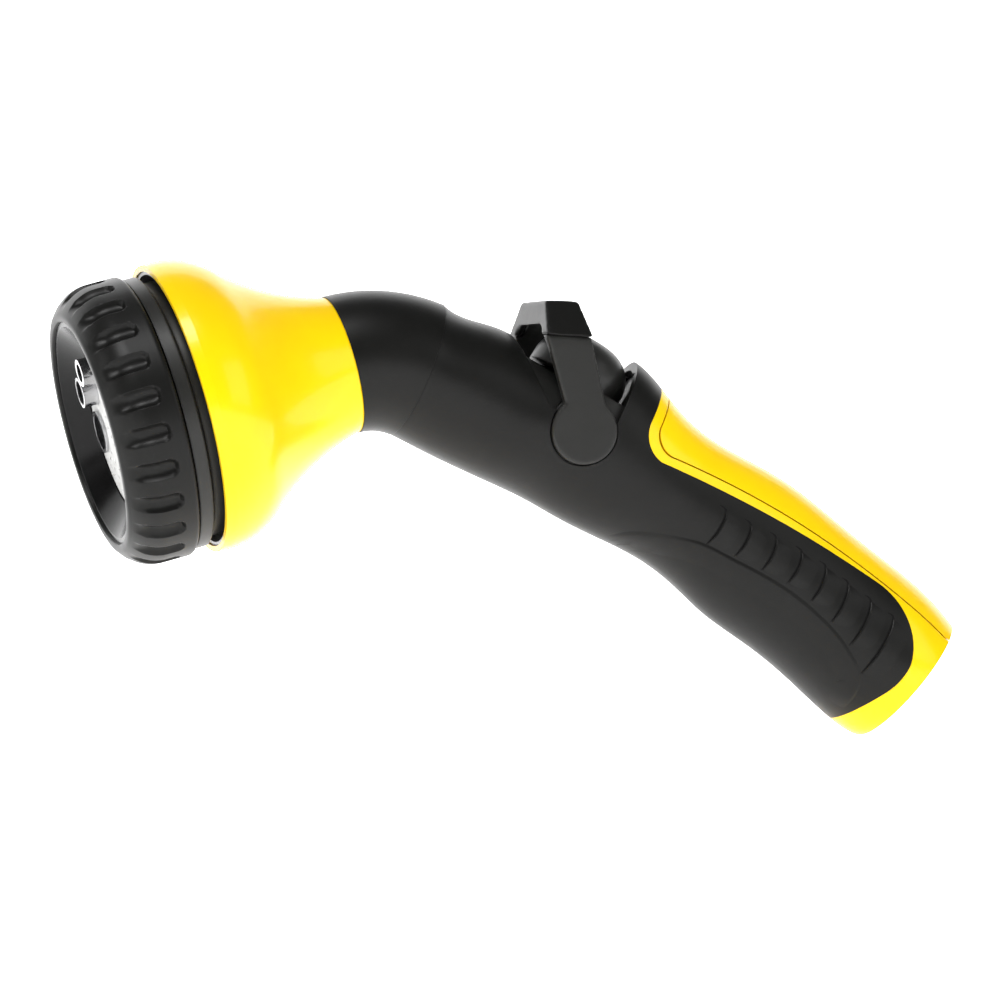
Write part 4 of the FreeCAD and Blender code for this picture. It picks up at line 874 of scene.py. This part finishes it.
@dataclass
class Studio:
    """The pale sweep, the soft lights and the camera."""

    view: tuple[float, float, float] = (0.2419, 0.9703, 0.0)
    aim: tuple[float, float, float] = (-0.1130, 0.0, 0.0485)
    distance: float = 2.2
    lens: float = 295.5
    air_light: float = 0.16
    air_seen: float = 1.5
    paper_shade: float = 0.95
    paper_glow: float = 1.35
    lamps: tuple[tuple[str, tuple[float, float, float], float, float], ...] = (
        ("key_lamp", (-0.7, -0.95, 1.75), 0.8, 28.0),
        ("fill_lamp", (1.1, -1.3, 0.7), 1.0, 5.0),
        ("head_lamp", (-1.5, -0.2, 0.5), 0.7, 3.0))

    def sweep(self) -> None:
        """Make a pale floor that curves up into a wall behind the nozzle."""
        low = CAD_BOX[0].z - 0.0002
        near, far, turn, high, half = -2.6, 1.1, 0.6, 2.4, 3.0
        profile = [(near, low), (far, low)]
        profile += [(far + turn * math.sin(a), low + turn * (1.0 - math.cos(a)))
                    for a in (math.radians(90.0 * k / 16) for k in range(1, 17))]
        profile.append((far + turn, high))
        points = [Vector((x, y, z)) for x in (-half, half) for y, z in profile]
        n = len(profile)
        faces = [(i, n + i, n + i + 1, i + 1) for i in range(n - 1)]
        floor = flat_object("studio_floor", points, faces)
        for polygon in floor.data.polygons:
            polygon.use_smooth = True
        material = bpy.data.materials.new("studio_paper")
        material.use_nodes = True
        shader = material.node_tree.nodes["Principled BSDF"]
        shader.inputs["Base Color"].default_value = (*[self.paper_shade] * 3, 1.0)
        shader.inputs["Roughness"].default_value = 0.95
        shader.inputs["Specular IOR Level"].default_value = 0.0
        shader.inputs["Emission Color"].default_value = (1.0, 1.0, 1.0, 1.0)
        shader.inputs["Emission Strength"].default_value = self.paper_glow
        floor.data.materials.append(material)

    def lamp(self, name: str, place: tuple[float, float, float], size: float, power: float) -> None:
        """Add a soft square lamp that faces the nozzle.

        Args:
            name: The lamp's name.
            place: Where it hangs.
            size: Length of its side.
            power: Its power in watts.
        """
        data = bpy.data.lights.new(name, "AREA")
        data.size = size
        data.energy = power
        lamp = bpy.data.objects.new(name, data)
        lamp.location = place
        lamp.rotation_mode = "QUATERNION"
        lamp.rotation_quaternion = (Vector(self.aim) - Vector(place)).to_track_quat("-Z", "Y")
        bpy.context.scene.collection.objects.link(lamp)

    def build(self) -> None:
        """Set up the sweep, the lamps, the surroundings and the camera."""
        self.sweep()
        for lamp in self.lamps:
            self.lamp(*lamp)
        world = bpy.data.worlds.new("studio_air")
        world.use_nodes = True
        air = world.node_tree.nodes["Background"]
        air.inputs["Color"].default_value = (1.0, 1.0, 1.0, 1.0)
        seen = world.node_tree.nodes.new("ShaderNodeLightPath")
        strength = world.node_tree.nodes.new("ShaderNodeMapRange")
        strength.inputs["To Min"].default_value = self.air_light
        strength.inputs["To Max"].default_value = self.air_seen
        world.node_tree.links.new(seen.outputs["Is Camera Ray"], strength.inputs["Value"])
        world.node_tree.links.new(strength.outputs["Result"], air.inputs["Strength"])
        scene = bpy.context.scene
        scene.world = world
        scene.view_settings.view_transform = "Standard"
        data = bpy.data.cameras.new("studio_camera")
        data.lens = self.lens
        data.clip_start, data.clip_end = 0.1, 10.0
        camera = bpy.data.objects.new("studio_camera", data)
        camera.location = Vector(self.aim) - Vector(self.view) * self.distance
        camera.rotation_mode = "QUATERNION"
        camera.rotation_quaternion = Vector(self.view).to_track_quat("-Z", "Y")
        scene.collection.objects.link(camera)
        scene.camera = camera


def main() -> None:
    """Build the nozzle's details and finishes, then the studio."""
    logging.basicConfig(level=logging.INFO, format="%(message)s")
    palette = Palette()
    palette.dress_carried_nodes()
    GripRelief().build(palette, DrapeTree())
    SelectorRing().build(palette, RoundTree())
    HoseThread().build(palette, ThreadTree())
    RoundedSkin("lever_pad", "lever_pad_rounded", "body_rubber", Body.LEVER).build(palette)
    RoundedSkin("thumb_lever", "thumb_lever_rounded", "black_plastic", Body.LEVER, 0.4, 4).build(palette)
    Studio().build()


if __name__ == "__main__":
    main()
